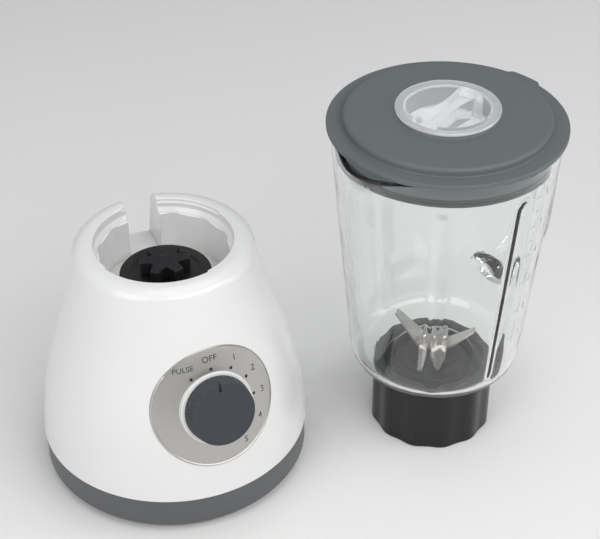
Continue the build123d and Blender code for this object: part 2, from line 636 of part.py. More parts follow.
with BuildPart() as lower_bearing:
    with BuildSketch(Plane.XY.offset(LOWER_BEARING_Z)) as lower_race:
        Circle(BEARING_R)
        Circle(SHAFT_R + RUNNING_GAP, mode=Mode.SUBTRACT)
    extrude(lower_race.sketch, amount=BEARING_H)

with BuildPart() as stator_screws:
    STATOR_SCREW_LEN = UPPER_BRACKET_Z + BRACKET_T - LOWER_BRACKET_Z
    with BuildSketch(Plane.XY.offset(LOWER_BRACKET_Z)) as long_shanks:
        with GridLocations(2 * STATOR_SCREW_X, 2 * STATOR_SCREW_Y, 2, 2):
            Circle(STATOR_SCREW_R)
    extrude(long_shanks.sketch, amount=STATOR_SCREW_LEN)
    with BuildSketch(Plane.XY.offset(LOWER_BRACKET_Z - 2.5)) as long_heads:
        with GridLocations(2 * STATOR_SCREW_X, 2 * STATOR_SCREW_Y, 2, 2):
            RegularPolygon(2 * STATOR_SCREW_R, 6)
    extrude(long_heads.sketch, amount=2.5)

with BuildPart() as motor_mounts:
    with BuildSketch(Plane.XY.offset(UPPER_BRACKET_Z + BRACKET_T)) as mounts:
        with PolarLocations(MOUNT_RADIUS, 2):
            Circle(MOUNT_R)
            Circle(SCREW_R, mode=Mode.SUBTRACT)
    extrude(mounts.sketch, amount=MOUNT_H)

with BuildPart() as motor_screws:
    with BuildSketch(Plane.XY.offset(UPPER_BRACKET_Z - 2.2)) as mount_heads:
        with PolarLocations(MOUNT_RADIUS, 2):
            Circle(SCREW_HEAD_R)
    extrude(mount_heads.sketch, amount=2.2)
    with BuildSketch(Plane.XY.offset(UPPER_BRACKET_Z)) as mount_shanks:
        with PolarLocations(MOUNT_RADIUS, 2):
            Circle(SCREW_R)
    extrude(mount_shanks.sketch, amount=BRACKET_T + MOUNT_H + POST_H - FIT_GAP)

BRUSH_Z = STACK_Z - BRACKET_GAP - COMMUTATOR_H / 2
with BuildPart() as carbon_brushes:
    with BuildSketch(Plane.XY.offset(BRUSH_Z - BRUSH_W / 2)) as brushes:
        with GridLocations(2 * COMMUTATOR_R + BRUSH_L, 0, 2, 1):
            Rectangle(BRUSH_L, BRUSH_W)
        Circle(COMMUTATOR_R + BRUSH_GAP, mode=Mode.SUBTRACT)
    extrude(brushes.sketch, amount=BRUSH_W)

with BuildPart() as brush_holders:
    # brass tubes around the brushes, standing on the lower bracket
    with BuildSketch(Plane.XY.offset(LOWER_BRACKET_Z + BRACKET_T)) as holder_blocks:
        with GridLocations(2 * COMMUTATOR_R + BRUSH_L + 8, 0, 2, 1):
            Rectangle(BRUSH_L + 2, BRUSH_W + 3)
    extrude(holder_blocks.sketch, amount=COMMUTATOR_H - 1)
    with BuildSketch(Plane.XY.offset(BRUSH_Z - BRUSH_W / 2)) as holder_bores:
        Rectangle(2 * COMMUTATOR_R + 2 * BRUSH_L, BRUSH_W)
    extrude(holder_bores.sketch, amount=BRUSH_W, mode=Mode.SUBTRACT)

# ---------------------------------------------------------------- motor, turning parts
with BuildPart() as motor_shaft:
    with BuildSketch(Plane.XY.offset(SHAFT_BOTTOM)) as shaft_round:
        Circle(SHAFT_R)
    extrude(shaft_round.sketch, amount=COUPLING_Z + COUPLING_H - 2 - SHAFT_BOTTOM)
    chamfer(motor_shaft.edges().filter_by(GeomType.CIRCLE), 0.4)

with BuildPart() as rotor_core:
    with BuildSketch(Plane.XY.offset(STACK_Z)) as rotor_shape:
        Circle(ROTOR_R)
        Circle(SHAFT_R, mode=Mode.SUBTRACT)
        with PolarLocations(ROTOR_R - 3, 12):
            SlotOverall(7, 2.6, mode=Mode.SUBTRACT)
    extrude(rotor_shape.sketch, amount=STACK_H)

with BuildPart() as rotor_winding:
    for start in (STACK_Z - WINDING_H, STACK_TOP):
        with BuildSketch(Plane.XY.offset(start)) as winding_head:
            Circle(WINDING_R)
            Circle(SHAFT_R, mode=Mode.SUBTRACT)
        extrude(winding_head.sketch, amount=WINDING_H)
    fillet(rotor_winding.edges().filter_by(GeomType.CIRCLE).filter_by(
        lambda edge: edge.radius > SHAFT_R + 1), 3)

with BuildPart() as commutator:
    with BuildSketch(Plane.XY.offset(STACK_Z - BRACKET_GAP - COMMUTATOR_H)) as segments:
        Circle(COMMUTATOR_R)
        Circle(SHAFT_R, mode=Mode.SUBTRACT)
        with PolarLocations(COMMUTATOR_R, 24):
            Rectangle(1.6, 0.5, mode=Mode.SUBTRACT)
    extrude(segments.sketch, amount=COMMUTATOR_H)

with BuildPart() as cooling_fan:
    with BuildSketch(Plane.XY.offset(FAN_Z)) as fan_disc:
        Circle(FAN_R)
        Circle(SHAFT_R, mode=Mode.SUBTRACT)
    extrude(fan_disc.sketch, amount=1.8)
    with BuildSketch(Plane.XY.offset(FAN_Z)) as fan_hub:
        Circle(SHAFT_R + 4)
        Circle(SHAFT_R, mode=Mode.SUBTRACT)
    extrude(fan_hub.sketch, amount=FAN_H)
    with BuildSketch(Plane.XY.offset(FAN_Z)) as fan_blades:
        with PolarLocations(FAN_R * 0.66, FAN_BLADES):
            Rectangle(FAN_R * 0.62, 1.6, rotation=24)
    extrude(fan_blades.sketch, amount=FAN_H)

# ---------------------------------------------------------------- coupling on the base
with BuildPart() as splash_disc:
    with BuildSketch(Plane.XY.offset(BOSS_TOP)) as splash:
        Circle(SPLASH_R)
        Circle(SHAFT_HOLE_R, mode=Mode.SUBTRACT)
    extrude(splash.sketch, amount=SPLASH_T)
    fillet(splash_disc.edges().group_by(Axis.Z)[-1].sort_by(SortBy.RADIUS)[-1], 1.0)

with BuildPart() as drive_coupling:
    with BuildSketch(Plane.XY.offset(COUPLING_Z)) as coupling_foot:
        Circle(COUPLING_R + 1.5)
    extrude(coupling_foot.sketch, amount=1.8)
    star(Plane.XY.offset(COUPLING_Z).rotated((0, 0, COUPLING_TURN)), COUPLING_R, COUPLING_ROOT_R, COUPLING_H)
    with BuildSketch(Plane.XY.offset(COUPLING_Z)) as coupling_bore:
        Circle(SHAFT_R)
    extrude(coupling_bore.sketch, amount=COUPLING_H, mode=Mode.SUBTRACT)

# ---------------------------------------------------------------- glass jug
WALL_Z = JUG_BOTTOM_Z + JUG_CORNER
WALL_LEAN = (JUG_RIM_R - JUG_FOOT_R) / (JUG_TOP_Z - WALL_Z)
JUG_AXIS = AXIS_OF[JUG_SECTION]


def jug_wall(height):
    """Outer radius of the jug's leaning wall at a height."""
    return JUG_FOOT_R + WALL_LEAN * (height - WALL_Z)


def bore_radius(height):
    """Inner radius of the jug's leaning wall at a height."""
    return jug_wall(height) - GLASS_T


with BuildPart() as glass_jug:
    INNER_CORNER = JUG_CORNER - GLASS_T
    # outer form
    with BuildSketch(JUG_SECTION) as jug_form:
        with BuildLine():
            foot = Polyline((0, NECK_BOTTOM_Z), (NECK_R, NECK_BOTTOM_Z), (NECK_R, JUG_BOTTOM_Z),
                            (JUG_FOOT_R - JUG_CORNER, JUG_BOTTOM_Z))
            TangentArc(foot @ 1, (JUG_FOOT_R, WALL_Z), tangent=(1, 0))
            Polyline((JUG_FOOT_R, WALL_Z), (jug_wall(JUG_TOP_Z), JUG_TOP_Z), (0, JUG_TOP_Z), (0, NECK_BOTTOM_Z))
        make_face()
    revolve(jug_form.sketch, axis=JUG_AXIS)
    # pouring spout, opposite the handle
    with BuildSketch(JUG.offset(JUG_TOP_Z - SPOUT_H)) as spout_low:
        with Locations((SPOUT_LOW_R + 1 - jug_wall(JUG_TOP_Z - SPOUT_H), 0)):
            Circle(SPOUT_LOW_R)
    with BuildSketch(JUG.offset(JUG_TOP_Z)) as spout_lip:
        with Locations((SPOUT_R - SPOUT_REACH - jug_wall(JUG_TOP_Z), 0)):
            Circle(SPOUT_R)
    loft([spout_low.sketch, spout_lip.sketch])
    # handle, a flat loop beside the wall
    with BuildLine(Plane(origin=(JUG_X, JUG_Y, 0), x_dir=JUG.x_dir, z_dir=-JUG.y_dir)) as handle_line:
        grip_x = jug_wall(HANDLE_HIGH_Z) + HANDLE_REACH
        FilletPolyline(
            (bore_radius(HANDLE_HIGH_Z) - 2, HANDLE_HIGH_Z), (grip_x, HANDLE_HIGH_Z),
            (grip_x - HANDLE_SLANT, HANDLE_LOW_Z), (bore_radius(HANDLE_LOW_Z) - 2, HANDLE_LOW_Z),
            radius=HANDLE_BEND,
        )
    with BuildSketch(Plane(origin=handle_line.line @ 0, x_dir=JUG.y_dir, z_dir=JUG.x_dir)) as handle_section:
        Ellipse(HANDLE_W / 2, HANDLE_T / 2)
    sweep(handle_section.sketch, path=handle_line.line)
    # inside
    with BuildSketch(JUG_SECTION) as jug_hollow:
        with BuildLine():
            throat = Polyline((0, NECK_BOTTOM_Z), (NECK_BORE_R, NECK_BOTTOM_Z), (NECK_BORE_R, JUG_BOTTOM_Z + GLASS_T),
                              (bore_radius(WALL_Z) - INNER_CORNER, JUG_BOTTOM_Z + GLASS_T))
            TangentArc(throat @ 1, (bore_radius(WALL_Z), WALL_Z), tangent=(1, 0))
            Polyline((bore_radius(WALL_Z), WALL_Z), (bore_radius(JUG_TOP_Z), JUG_TOP_Z), (0, JUG_TOP_Z),
                     (0, NECK_BOTTOM_Z))
        make_face()
    revolve(jug_hollow.sketch, axis=JUG_AXIS, mode=Mode.SUBTRACT)
    with BuildSketch(JUG.offset(JUG_TOP_Z - SPOUT_H + GLASS_T)) as channel_low:
        with Locations((SPOUT_LOW_R + 1 + GLASS_T / 2 - jug_wall(JUG_TOP_Z - SPOUT_H), 0)):
            Circle(SPOUT_LOW_R - GLASS_T / 2)
    with BuildSketch(JUG.offset(JUG_TOP_Z)) as channel_lip:
        with Locations((SPOUT_R - SPOUT_REACH - jug_wall(JUG_TOP_Z), 0)):
            Circle(SPOUT_R - GLASS_T)
    loft([channel_low.sketch, channel_lip.sketch], mode=Mode.SUBTRACT)
    # inner ribs that break up the whirl
    for rib in range(RIB_COUNT):
        azimuth = RIB_TURN + 45 * (rib + 1 + (rib >= RIB_COUNT / 2))
        low = JUG.rotated((0, 0, azimuth)).offset(RIB_BOTTOM_Z)
        low_point = low.origin + low.x_dir * bore_radius(RIB_BOTTOM_Z)
        high_point = low.origin + low.x_dir * bore_radius(RIB_TOP_Z)
        high_point += Vector(0, 0, RIB_TOP_Z - RIB_BOTTOM_Z)
        with BuildSketch(Plane(origin=low_point, z_dir=high_point - low_point)) as rib_section:
            Circle(RIB_R)
        extrude(rib_section.sketch, amount=(high_point - low_point).length)
        for end in (low_point, high_point):
            with Locations(end):
                Sphere(RIB_R)

with BuildPart() as jug_collar:
    CARRIER_Z = NECK_BOTTOM_Z - GASKET_H - CARRIER_T
    lobed(JUG.rotated((0, 0, RIB_TURN)), COLLAR_R, COLLAR_WAVE, COLLAR_H)
    turn((
        (0, 0), (CARRIER_R - 0.8, 0), (CARRIER_R - 0.8, CARRIER_Z - 3), (CARRIER_R - 3.5, CARRIER_Z - 3),
        (CARRIER_R - 3.5, CARRIER_Z), (NECK_R + FIT_GAP, CARRIER_Z), (NECK_R + FIT_GAP, COLLAR_H),
        (0, COLLAR_H),
    ), JUG_SECTION, Mode.SUBTRACT)

# ---------------------------------------------------------------- blade unit
DRIVEN_TOP = CARRIER_Z - 3.0
DRIVEN_Z = DRIVEN_TOP - DRIVEN_H
SOCKET_DEPTH = DRIVEN_H - 4.5

with BuildPart() as jug_gasket:
    turn((
        (NECK_BORE_R + FIT_GAP, CARRIER_Z + CARRIER_T), (CARRIER_R, CARRIER_Z + CARRIER_T),
        (CARRIER_R, NECK_BOTTOM_Z), (NECK_BORE_R + FIT_GAP, NECK_BOTTOM_Z),
    ), JUG_SECTION)

with BuildPart() as blade_carrier:
    turn((
        (BUSH_R, CARRIER_Z - 2.5), (BUSH_R + 6, CARRIER_Z - 2.5), (BUSH_R + 8, CARRIER_Z),
        (CARRIER_R, CARRIER_Z), (CARRIER_R, CARRIER_Z + CARRIER_T),
        (CARRIER_DOME_R + 1, CARRIER_Z + CARRIER_T), (CARRIER_DOME_R, CARRIER_DOME_Z - 5),
        (CARRIER_DOME_R - 8, CARRIER_DOME_Z), (BUSH_R, CARRIER_DOME_Z),
    ), JUG_SECTION)

with BuildPart() as blade_bush:
    turn((
        (BLADE_SHAFT_R + RUNNING_GAP, CARRIER_Z - 2.5), (BUSH_R, CARRIER_Z - 2.5), (BUSH_R, CARRIER_DOME_Z + 1),
        (BUSH_R - 2, BUSH_TOP_Z), (BLADE_SHAFT_R + RUNNING_GAP, BUSH_TOP_Z),
    ), JUG_SECTION)

with BuildPart() as shaft_seal:
    turn((
        (BLADE_SHAFT_R + 2 * RUNNING_GAP, BUSH_TOP_Z), (BUSH_R - 2.2, BUSH_TOP_Z),
        (BUSH_R - 3, BUSH_TOP_Z + 1.4), (BLADE_SHAFT_R + 2 * RUNNING_GAP, BUSH_TOP_Z + 1.4),
    ), JUG_SECTION)

LOWER_BLADE_Z = BLADE_Z
UPPER_BLADE_Z = BLADE_Z + BLADE_T
NUT_Z = UPPER_BLADE_Z + BLADE_T
with BuildPart() as blade_shaft:
    with BuildSketch(JUG.offset(DRIVEN_Z + SOCKET_DEPTH)) as blade_spindle:
        Circle(BLADE_SHAFT_R)
    extrude(blade_spindle.sketch, amount=NUT_Z + NUT_H + 1 - DRIVEN_Z - SOCKET_DEPTH)
    chamfer(blade_shaft.edges().filter_by(GeomType.CIRCLE).sort_by(Axis.Z)[-1], 0.6)
    with BuildSketch(JUG.offset(BUSH_TOP_Z + 1.6)) as blade_seat:
        Circle(BLADE_SHAFT_R + 3)
    extrude(blade_seat.sketch, amount=LOWER_BLADE_Z - BUSH_TOP_Z - 1.6)


def bent_blade(turned, height, bend, reach):
    """A strip blade with both arms bent by bend over their length, tapered to the tips."""
    plane = JUG.rotated((0, 0, turned - JUG_TURN))
    flat = BUSH_R + 1
    middle = height + BLADE_T / 2
    with BuildSketch(Plane(origin=JUG.origin, x_dir=plane.x_dir, z_dir=-plane.y_dir)) as side:
        with BuildLine():
            Polyline((-reach, middle + bend), (-flat, middle), (flat, middle), (reach, middle + bend))
        trace(line_width=BLADE_T)
    extrude(side.sketch, amount=BLADE_W, both=True)
    with BuildSketch(plane.offset(height - abs(bend) - BLADE_T)) as plan:
        with BuildLine():
            Polyline(
                (-reach - 1, -1.6), (-flat, -BLADE_W / 2), (flat, -BLADE_W / 2), (reach + 1, -3.6),
                (reach + 1, 1.6), (flat, BLADE_W / 2), (-flat, BLADE_W / 2), (-reach - 1, 3.6),
                close=True,
            )
        make_face()
    extrude(plan.sketch, amount=2 * abs(bend) + 3 * BLADE_T, mode=Mode.INTERSECT)
    with BuildSketch(plane.offset(height - abs(bend) - BLADE_T)) as hole:
        Circle(BLADE_SHAFT_R)
    extrude(hole.sketch, amount=2 * abs(bend) + 3 * BLADE_T, mode=Mode.SUBTRACT)


with BuildPart() as lower_blade:
    bent_blade(BLADE_TURN - 90, LOWER_BLADE_Z, -BLADE_DROP, LOWER_REACH)

with BuildPart() as upper_blade:
    bent_blade(BLADE_TURN, UPPER_BLADE_Z, BLADE_RISE, BLADE_REACH)

with BuildPart() as blade_nut:
    with BuildSketch(JUG.offset(NUT_Z)) as nut_shape:
        RegularPolygon(BLADE_SHAFT_R + 3.5, 6)
        Circle(BLADE_SHAFT_R, mode=Mode.SUBTRACT)
    extrude(nut_shape.sketch, amount=NUT_H)

with BuildPart() as driven_coupling:
    with BuildSketch(JUG.offset(DRIVEN_Z)) as driven_round:
        Circle(DRIVEN_R)
    extrude(driven_round.sketch, amount=DRIVEN_H)
    chamfer(driven_coupling.edges().sort_by(Axis.Z)[-1], 1.5)
    star(JUG.rotated((0, 0, COUPLING_TURN - JUG_TURN)).offset(DRIVEN_Z), COUPLING_R + DRIVEN_GAP,
         COUPLING_ROOT_R + DRIVEN_GAP, SOCKET_DEPTH, Mode.SUBTRACT)
    with BuildSketch(JUG.offset(DRIVEN_Z)) as driven_bore:
        Circle(BLADE_SHAFT_R)
    extrude(driven_bore.sketch, amount=DRIVEN_H, mode=Mode.SUBTRACT)

# ---------------------------------------------------------------- lid, seal and filler cap
LID_UNDER = LID_Z - LID_FLANGE_T
DISC_TOP = LID_Z + LID_DISC_RISE
CAP_SEAT_Z = CAP_TOP_Z - CAP_FLANGE_T
CAP_HOLE_R = CAP_R + CAP_GAP
SEAL_TOP_Z = SKIRT_BOTTOM_Z + SEAL_H
SEAL_INNER_R = bore_radius(SKIRT_BOTTOM_Z) - SEAL_GAP - 2.8

with BuildPart() as lid:
    turn((
        (CAP_HOLE_R, LID_Z - 6), (CAP_HOLE_R, CAP_SEAT_Z - FIT_GAP), (CAP_HOLE_R + LID_T, CAP_SEAT_Z - FIT_GAP),
        (CAP_HOLE_R + LID_T + 1, DISC_TOP), (LID_DISC_R - 1.5, DISC_TOP), (LID_DISC_R, DISC_TOP - 1.5),
        (LID_DISC_R + 0.4, LID_Z), (LID_R - 0.8, LID_Z), (LID_R, LID_Z - 0.8), (LID_R, LID_UNDER),
        (bore_radius(LID_UNDER) - 1, LID_UNDER), (bore_radius(SEAL_TOP_Z) - 1, SEAL_TOP_Z),
        (SEAL_INNER_R, SEAL_TOP_Z), (SEAL_INNER_R, SKIRT_BOTTOM_Z), (SEAL_INNER_R - LID_T, SKIRT_BOTTOM_Z),
        (SEAL_INNER_R - LID_T, LID_UNDER), (LID_DISC_R - LID_T, DISC_TOP - LID_T),
        (CAP_HOLE_R + LID_T, DISC_TOP - LID_T), (CAP_HOLE_R + LID_T, LID_Z - 6),
    ), JUG_SECTION)
    # lift tab over the handle
    with BuildSketch(JUG.offset(LID_UNDER)) as tab:
        with Locations((LID_R - 6 + LID_TAB_REACH, 0)):
            RectangleRounded(12, LID_TAB_W, 2)
    extrude(tab.sketch, amount=LID_FLANGE_T)

with BuildPart() as lid_seal:
    turn((
        (SEAL_INNER_R, SKIRT_BOTTOM_Z), (bore_radius(SKIRT_BOTTOM_Z) - SEAL_GAP, SKIRT_BOTTOM_Z),
        (bore_radius(SKIRT_BOTTOM_Z) - SEAL_GAP, SKIRT_BOTTOM_Z + 1.6),
        (bore_radius(SKIRT_BOTTOM_Z) - 1.4, SKIRT_BOTTOM_Z + 2.5),
        (bore_radius(SEAL_TOP_Z) - SEAL_GAP, SEAL_TOP_Z - 1.6), (bore_radius(SEAL_TOP_Z) - SEAL_GAP, SEAL_TOP_Z),
        (SEAL_INNER_R, SEAL_TOP_Z),
    ), JUG_SECTION)

with BuildPart() as filler_cap:
    turn((
        (0, CAP_BOTTOM_Z + CAP_WALL), (CAP_R - CAP_WALL, CAP_BOTTOM_Z + CAP_WALL), (CAP_R - CAP_WALL, CAP_BOTTOM_Z),
        (CAP_R, CAP_BOTTOM_Z), (CAP_R, CAP_SEAT_Z), (CAP_FLANGE_R, CAP_SEAT_Z), (CAP_FLANGE_R, CAP_TOP_Z - 0.6),
        (CAP_FLANGE_R - 0.6, CAP_TOP_Z), (0, CAP_TOP_Z),
    ), JUG_SECTION)
    # two finger pockets leave a waisted bar between them
    with BuildSketch(JUG.rotated((0, 0, BAR_TURN - JUG_TURN)).offset(CAP_TOP_Z)) as pockets:
        Circle(CAP_POCKET_R)
        with BuildLine():
            far = CAP_POCKET_R + 1
            ThreePointArc((-far, BAR_W / 2), (0, BAR_WAIST / 2), (far, BAR_W / 2))
            Line((far, BAR_W / 2), (far, -BAR_W / 2))
            ThreePointArc((far, -BAR_W / 2), (0, -BAR_WAIST / 2), (-far, -BAR_W / 2))
            Line((-far, -BAR_W / 2), (-far, BAR_W / 2))
        make_face(mode=Mode.SUBTRACT)
    extrude(pockets.sketch, amount=-CAP_POCKET_DEPTH, mode=Mode.SUBTRACT)

# ---------------------------------------------------------------- labels and files
pieces = {
    "base_housing": base_housing, "base_cover": base_cover, "foot_pads": foot_pads,
    "cord_grommet": cord_grommet, "cover_screws": cover_screws, "dial_plate": dial_plate,
    "speed_knob": speed_knob, "switch_shaft": switch_shaft, "switch_body": switch_body,
    "stator_core": stator_core, "field_coils": field_coils, "upper_bracket": upper_bracket,
    "lower_bracket": lower_bracket, "upper_bearing": upper_bearing, "lower_bearing": lower_bearing,
    "stator_screws": stator_screws, "motor_mounts": motor_mounts, "motor_screws": motor_screws,
    "carbon_brushes": carbon_brushes, "brush_holders": brush_holders, "motor_shaft": motor_shaft,
    "rotor_core": rotor_core, "rotor_winding": rotor_winding, "commutator": commutator,
    "cooling_fan": cooling_fan, "splash_disc": splash_disc, "drive_coupling": drive_coupling,
    "glass_jug": glass_jug, "jug_collar": jug_collar, "jug_gasket": jug_gasket,
    "blade_carrier": blade_carrier, "blade_bush": blade_bush, "shaft_seal": shaft_seal,
    "blade_shaft": blade_shaft, "lower_blade": lower_blade, "upper_blade": upper_blade,
    "blade_nut": blade_nut, "driven_coupling": driven_coupling, "lid": lid, "lid_seal": lid_seal,
    "filler_cap": filler_cap,
}
for name, piece in pieces.items():
    piece.part.label = name
    export_step(piece.part, f"parts/{name}.step")
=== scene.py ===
"""Looks of a countertop blender: motor base with speed dial, glass jug, lid and filler cap.

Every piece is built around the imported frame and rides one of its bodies.  Lengths are in
metres, +Z up, with the origin on the motor's axis at table level.
"""

import json
import math

import bmesh
import bpy
import numpy as np
from mathutils import Matrix, Vector
from mathutils.bvhtree import BVHTree


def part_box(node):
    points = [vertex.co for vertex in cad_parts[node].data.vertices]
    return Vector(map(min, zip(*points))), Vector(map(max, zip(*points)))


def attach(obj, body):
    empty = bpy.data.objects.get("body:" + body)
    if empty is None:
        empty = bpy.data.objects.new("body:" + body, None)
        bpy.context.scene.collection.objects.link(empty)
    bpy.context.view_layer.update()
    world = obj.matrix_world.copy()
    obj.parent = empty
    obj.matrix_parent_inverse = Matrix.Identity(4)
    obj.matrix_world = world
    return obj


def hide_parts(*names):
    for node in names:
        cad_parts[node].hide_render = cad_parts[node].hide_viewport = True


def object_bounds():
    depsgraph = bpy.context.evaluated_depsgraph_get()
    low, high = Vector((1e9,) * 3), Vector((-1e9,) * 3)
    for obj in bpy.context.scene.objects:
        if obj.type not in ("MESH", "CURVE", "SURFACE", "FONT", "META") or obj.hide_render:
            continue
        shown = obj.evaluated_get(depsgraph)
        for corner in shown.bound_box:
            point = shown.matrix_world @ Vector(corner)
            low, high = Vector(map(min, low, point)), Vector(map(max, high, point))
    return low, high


bl_info = {
    "name": "Countertop Blender Looks",
    "version": (1, 0, 0),
    "blender": (4, 5, 0),
    "location": "3D View > Sidebar > Kitchen",
    "description": "Builds the visible pieces of a countertop blender around its packed frame",
    "category": "Add Mesh",
}

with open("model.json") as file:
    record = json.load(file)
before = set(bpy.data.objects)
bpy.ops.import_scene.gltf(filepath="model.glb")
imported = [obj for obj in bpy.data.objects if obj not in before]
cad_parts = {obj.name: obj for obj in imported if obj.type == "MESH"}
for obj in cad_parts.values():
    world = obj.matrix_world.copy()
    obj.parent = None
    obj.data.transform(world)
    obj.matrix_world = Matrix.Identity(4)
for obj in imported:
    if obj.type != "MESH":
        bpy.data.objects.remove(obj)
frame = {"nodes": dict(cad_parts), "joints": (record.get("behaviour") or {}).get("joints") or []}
CAD_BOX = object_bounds()

# ------------------------------------------------------------------ places read from the frame
JOINTS = {joint["name"]: joint for joint in frame["joints"]}
HOUSING_LOW, HOUSING_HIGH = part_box("base_housing")
_, COLLAR_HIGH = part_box("jug_collar")
GLASS_LOW, GLASS_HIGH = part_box("glass_jug")
_, LID_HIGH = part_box("lid")
CAP_LOW, CAP_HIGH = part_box("filler_cap")
SEAL_LOW, SEAL_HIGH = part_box("lid_seal")
STAR_LOW, STAR_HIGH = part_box("drive_coupling")
SPLASH_LOW, SPLASH_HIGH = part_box("splash_disc")
JUG_X, JUG_Y, _ = JOINTS["blade_spin"]["pos_m"]
JUG_AXIS = Vector((JUG_X, JUG_Y, 0))
DIAL_CENTRE = Vector(JOINTS["knob_turn"]["pos_m"])
DIAL_OUT = -Vector(JOINTS["knob_turn"]["axis"])
DIAL_RIGHT = Vector((1, 0, 0))
DIAL_UP = DIAL_OUT.cross(DIAL_RIGHT)
FULL_TURN = 2 * math.pi
SHARP = math.radians(38)        # edges sharper than this are shaded as edges
GLASS_SHARP = math.radians(60)  # the same for the soft forms of pressed glass
PRINT_THICK = 0.00002           # half the thickness of printed marks
PRINT_GAP = 0.00003             # how far they stand off the surface


# ------------------------------------------------------------------ settings
def setting(kind, **fixed):
    """A maker of settings of one kind, called with a name, a default and a description."""
    def make(name, default, description):
        return kind(name=name, default=default, description=description, **fixed)
    return make


def angle(name, degrees, description):
    """A setting that is an angle, given here in degrees."""
    return turned_by(name, math.radians(degrees), description)


length = setting(bpy.props.FloatProperty, unit="LENGTH", precision=4)
turned_by = setting(bpy.props.FloatProperty, subtype="ANGLE")
amount = setting(bpy.props.FloatProperty, min=0)
count = setting(bpy.props.IntProperty, min=1)
colour = setting(bpy.props.FloatVectorProperty, size=3, min=0, max=1, subtype="COLOR")


class HousingSizes(bpy.types.PropertyGroup):
    """Sizes of the white housing and of the socket in its top."""
    rim_flat: length("Rim Flat", 0.0478, "Outer radius of the flat ring round the socket")
    shoulder_drop: length("Shoulder Drop", 0.0070, "Height over which the side rounds into the rim")
    well: length("Well", 0.0433, "Radius of the socket's band")
    well_depth: length("Well Depth", 0.0373, "From the rim to the socket's floor")
    band: length("Band Height", 0.0055, "Height of the round band under the rim")
    slope: length("Slope Height", 0.0030, "Height of the slope under the band")
    wall_crest: length("Wall Crest", 0.0412, "Largest radius of the socket's lobed wall")
    wall_wave: length("Wall Wave", 0.0013, "Depth of the lobes of that wall")
    recess: length("Recess", 0.0012, "Depth of the two locking recesses in the band")
    recess_height: length("Recess Height", 0.0024, "How far the recesses reach down from the rim")
    recess_start: angle("Recess Start", 16.6, "Azimuth where the first recess starts")
    recess_span: angle("Recess Span", 88.3, "How far each recess runs")
    slot: length("Slot Width", 0.0206, "Width of the open slot in the socket's wall")
    slot_turn: angle("Slot Turn", 88.0, "Azimuth of the slot")
    boss: length("Boss", 0.0274, "Radius of the boss under the splash disc")
    boss_height: length("Boss Height", 0.0098, "Height of that boss")
    wall: length("Wall", 0.0026, "Thickness of the moulded wall")
    edge: length("Edge", 0.0010, "Rounding of the rim's edges")


class DialSizes(bpy.types.PropertyGroup):
    """Sizes of the dial plate, its ring and the knob."""
    plate: length("Plate", 0.0400, "Radius of the metal plate")
    plate_thick: length("Plate Thickness", 0.0009, "Thickness of the metal plate")
    plate_rim: length("Plate Rim", 0.0016, "Width of the bright rim round the plate")
    ring: length("Ring", 0.0236, "Outer radius of the white ring round the knob")
    ring_rise: length("Ring Rise", 0.0012, "How far the ring stands out")
    knob: length("Knob", 0.0204, "Radius of the knob's face")
    knob_spread: length("Knob Spread", 0.0012, "How much wider the knob is at its foot")
    knob_height: length("Knob Height", 0.0096, "Height of the knob")
    knob_gap: length("Knob Gap", 0.0005, "Running gap under the knob")
    knob_ribs: count("Knob Ribs", 72, "Fine grip ribs round the knob")
    notch: length("Notch", 0.0019, "Width of the pointer notch")
    notch_long: length("Notch Length", 0.0046, "From the knob's edge to the middle of the notch's round end")
    dot: length("Dot", 0.0011, "Radius of a dot")
    dots: length("Dots", 0.0260, "Radius on which the dial's dots lie")
    figures: length("Figures", 0.0327, "Radius on which the dial's figures lie")
    figure_size: length("Figure Size", 0.0046, "Height of the dial's figures")
    step: angle("Step", 30.0, "Turn of the knob from one mark to the next")


class JugSizes(bpy.types.PropertyGroup):
    """Sizes of the glass jug and its collar."""
    turn: angle("Handle Turn", 18.5, "Azimuth that the handle points to")
    rib_turn: angle("Rib Turn", -5.1, "Turn of the ribs and the collar's lobes against the handle")
    foot: length("Foot", 0.0563, "Outer radius low on the wall")
    rim: length("Rim", 0.0714, "Outer radius at the rim")
    bottom: length("Bottom", 0.0505, "Height of the underside of the glass body")
    corner: length("Corner", 0.0150, "Rounding between the wall and the bottom")
    glass: length("Glass", 0.0040, "Thickness of the glass")
    neck: length("Neck", 0.0338, "Outer radius of the neck in the collar")
    bore: length("Bore", 0.0270, "Inner radius of the neck")
    rib_depth: length("Rib Depth", 0.0014, "How far the ribs stand into the jug")
    rib_width: length("Rib Width", 0.0075, "Half the width of a rib")
    rib_low: length("Rib Low End", 0.068, "Height where the ribs start")
    rib_high: length("Rib High End", 0.203, "Height where the ribs end")
    spout_reach: length("Spout Reach", 0.0095, "How far the lip stands out from the rim")
    spout_height: length("Spout Height", 0.026, "Height of the spout")
    spout_width: angle("Spout Width", 17.0, "Half the angle that the spout takes up")
    handle_reach: length("Handle Reach", 0.043, "How far the grip stands out from the wall")
    handle_low: length("Handle Low End", 0.092, "Height of the handle's lower end")
    handle_high: length("Handle High End", 0.196, "Height of the handle's upper end")
    handle_slant: length("Handle Slant", 0.010, "How much nearer the grip's lower end is")
    handle_bend: length("Handle Bend", 0.024, "Rounding of the handle's bends")
    handle_width: length("Handle Width", 0.020, "Width of the handle's section")
    handle_thick: length("Handle Thickness", 0.013, "Thickness of the handle's section")
    collar: length("Collar", 0.0406, "Crest radius of the lobed collar")
    collar_wave: length("Collar Wave", 0.0013, "Depth of the collar's lobes")
    lobes: count("Lobes", 12, "Lobes round the collar")
    scale_turn: angle("Scale Turn", -65.0, "Azimuth of the printed scale")
    scale_first: length("Scale First", 0.0950, "Height of the scale's first long mark")
    scale_step: length("Scale Step", 0.0224, "Height from one long mark to the next")


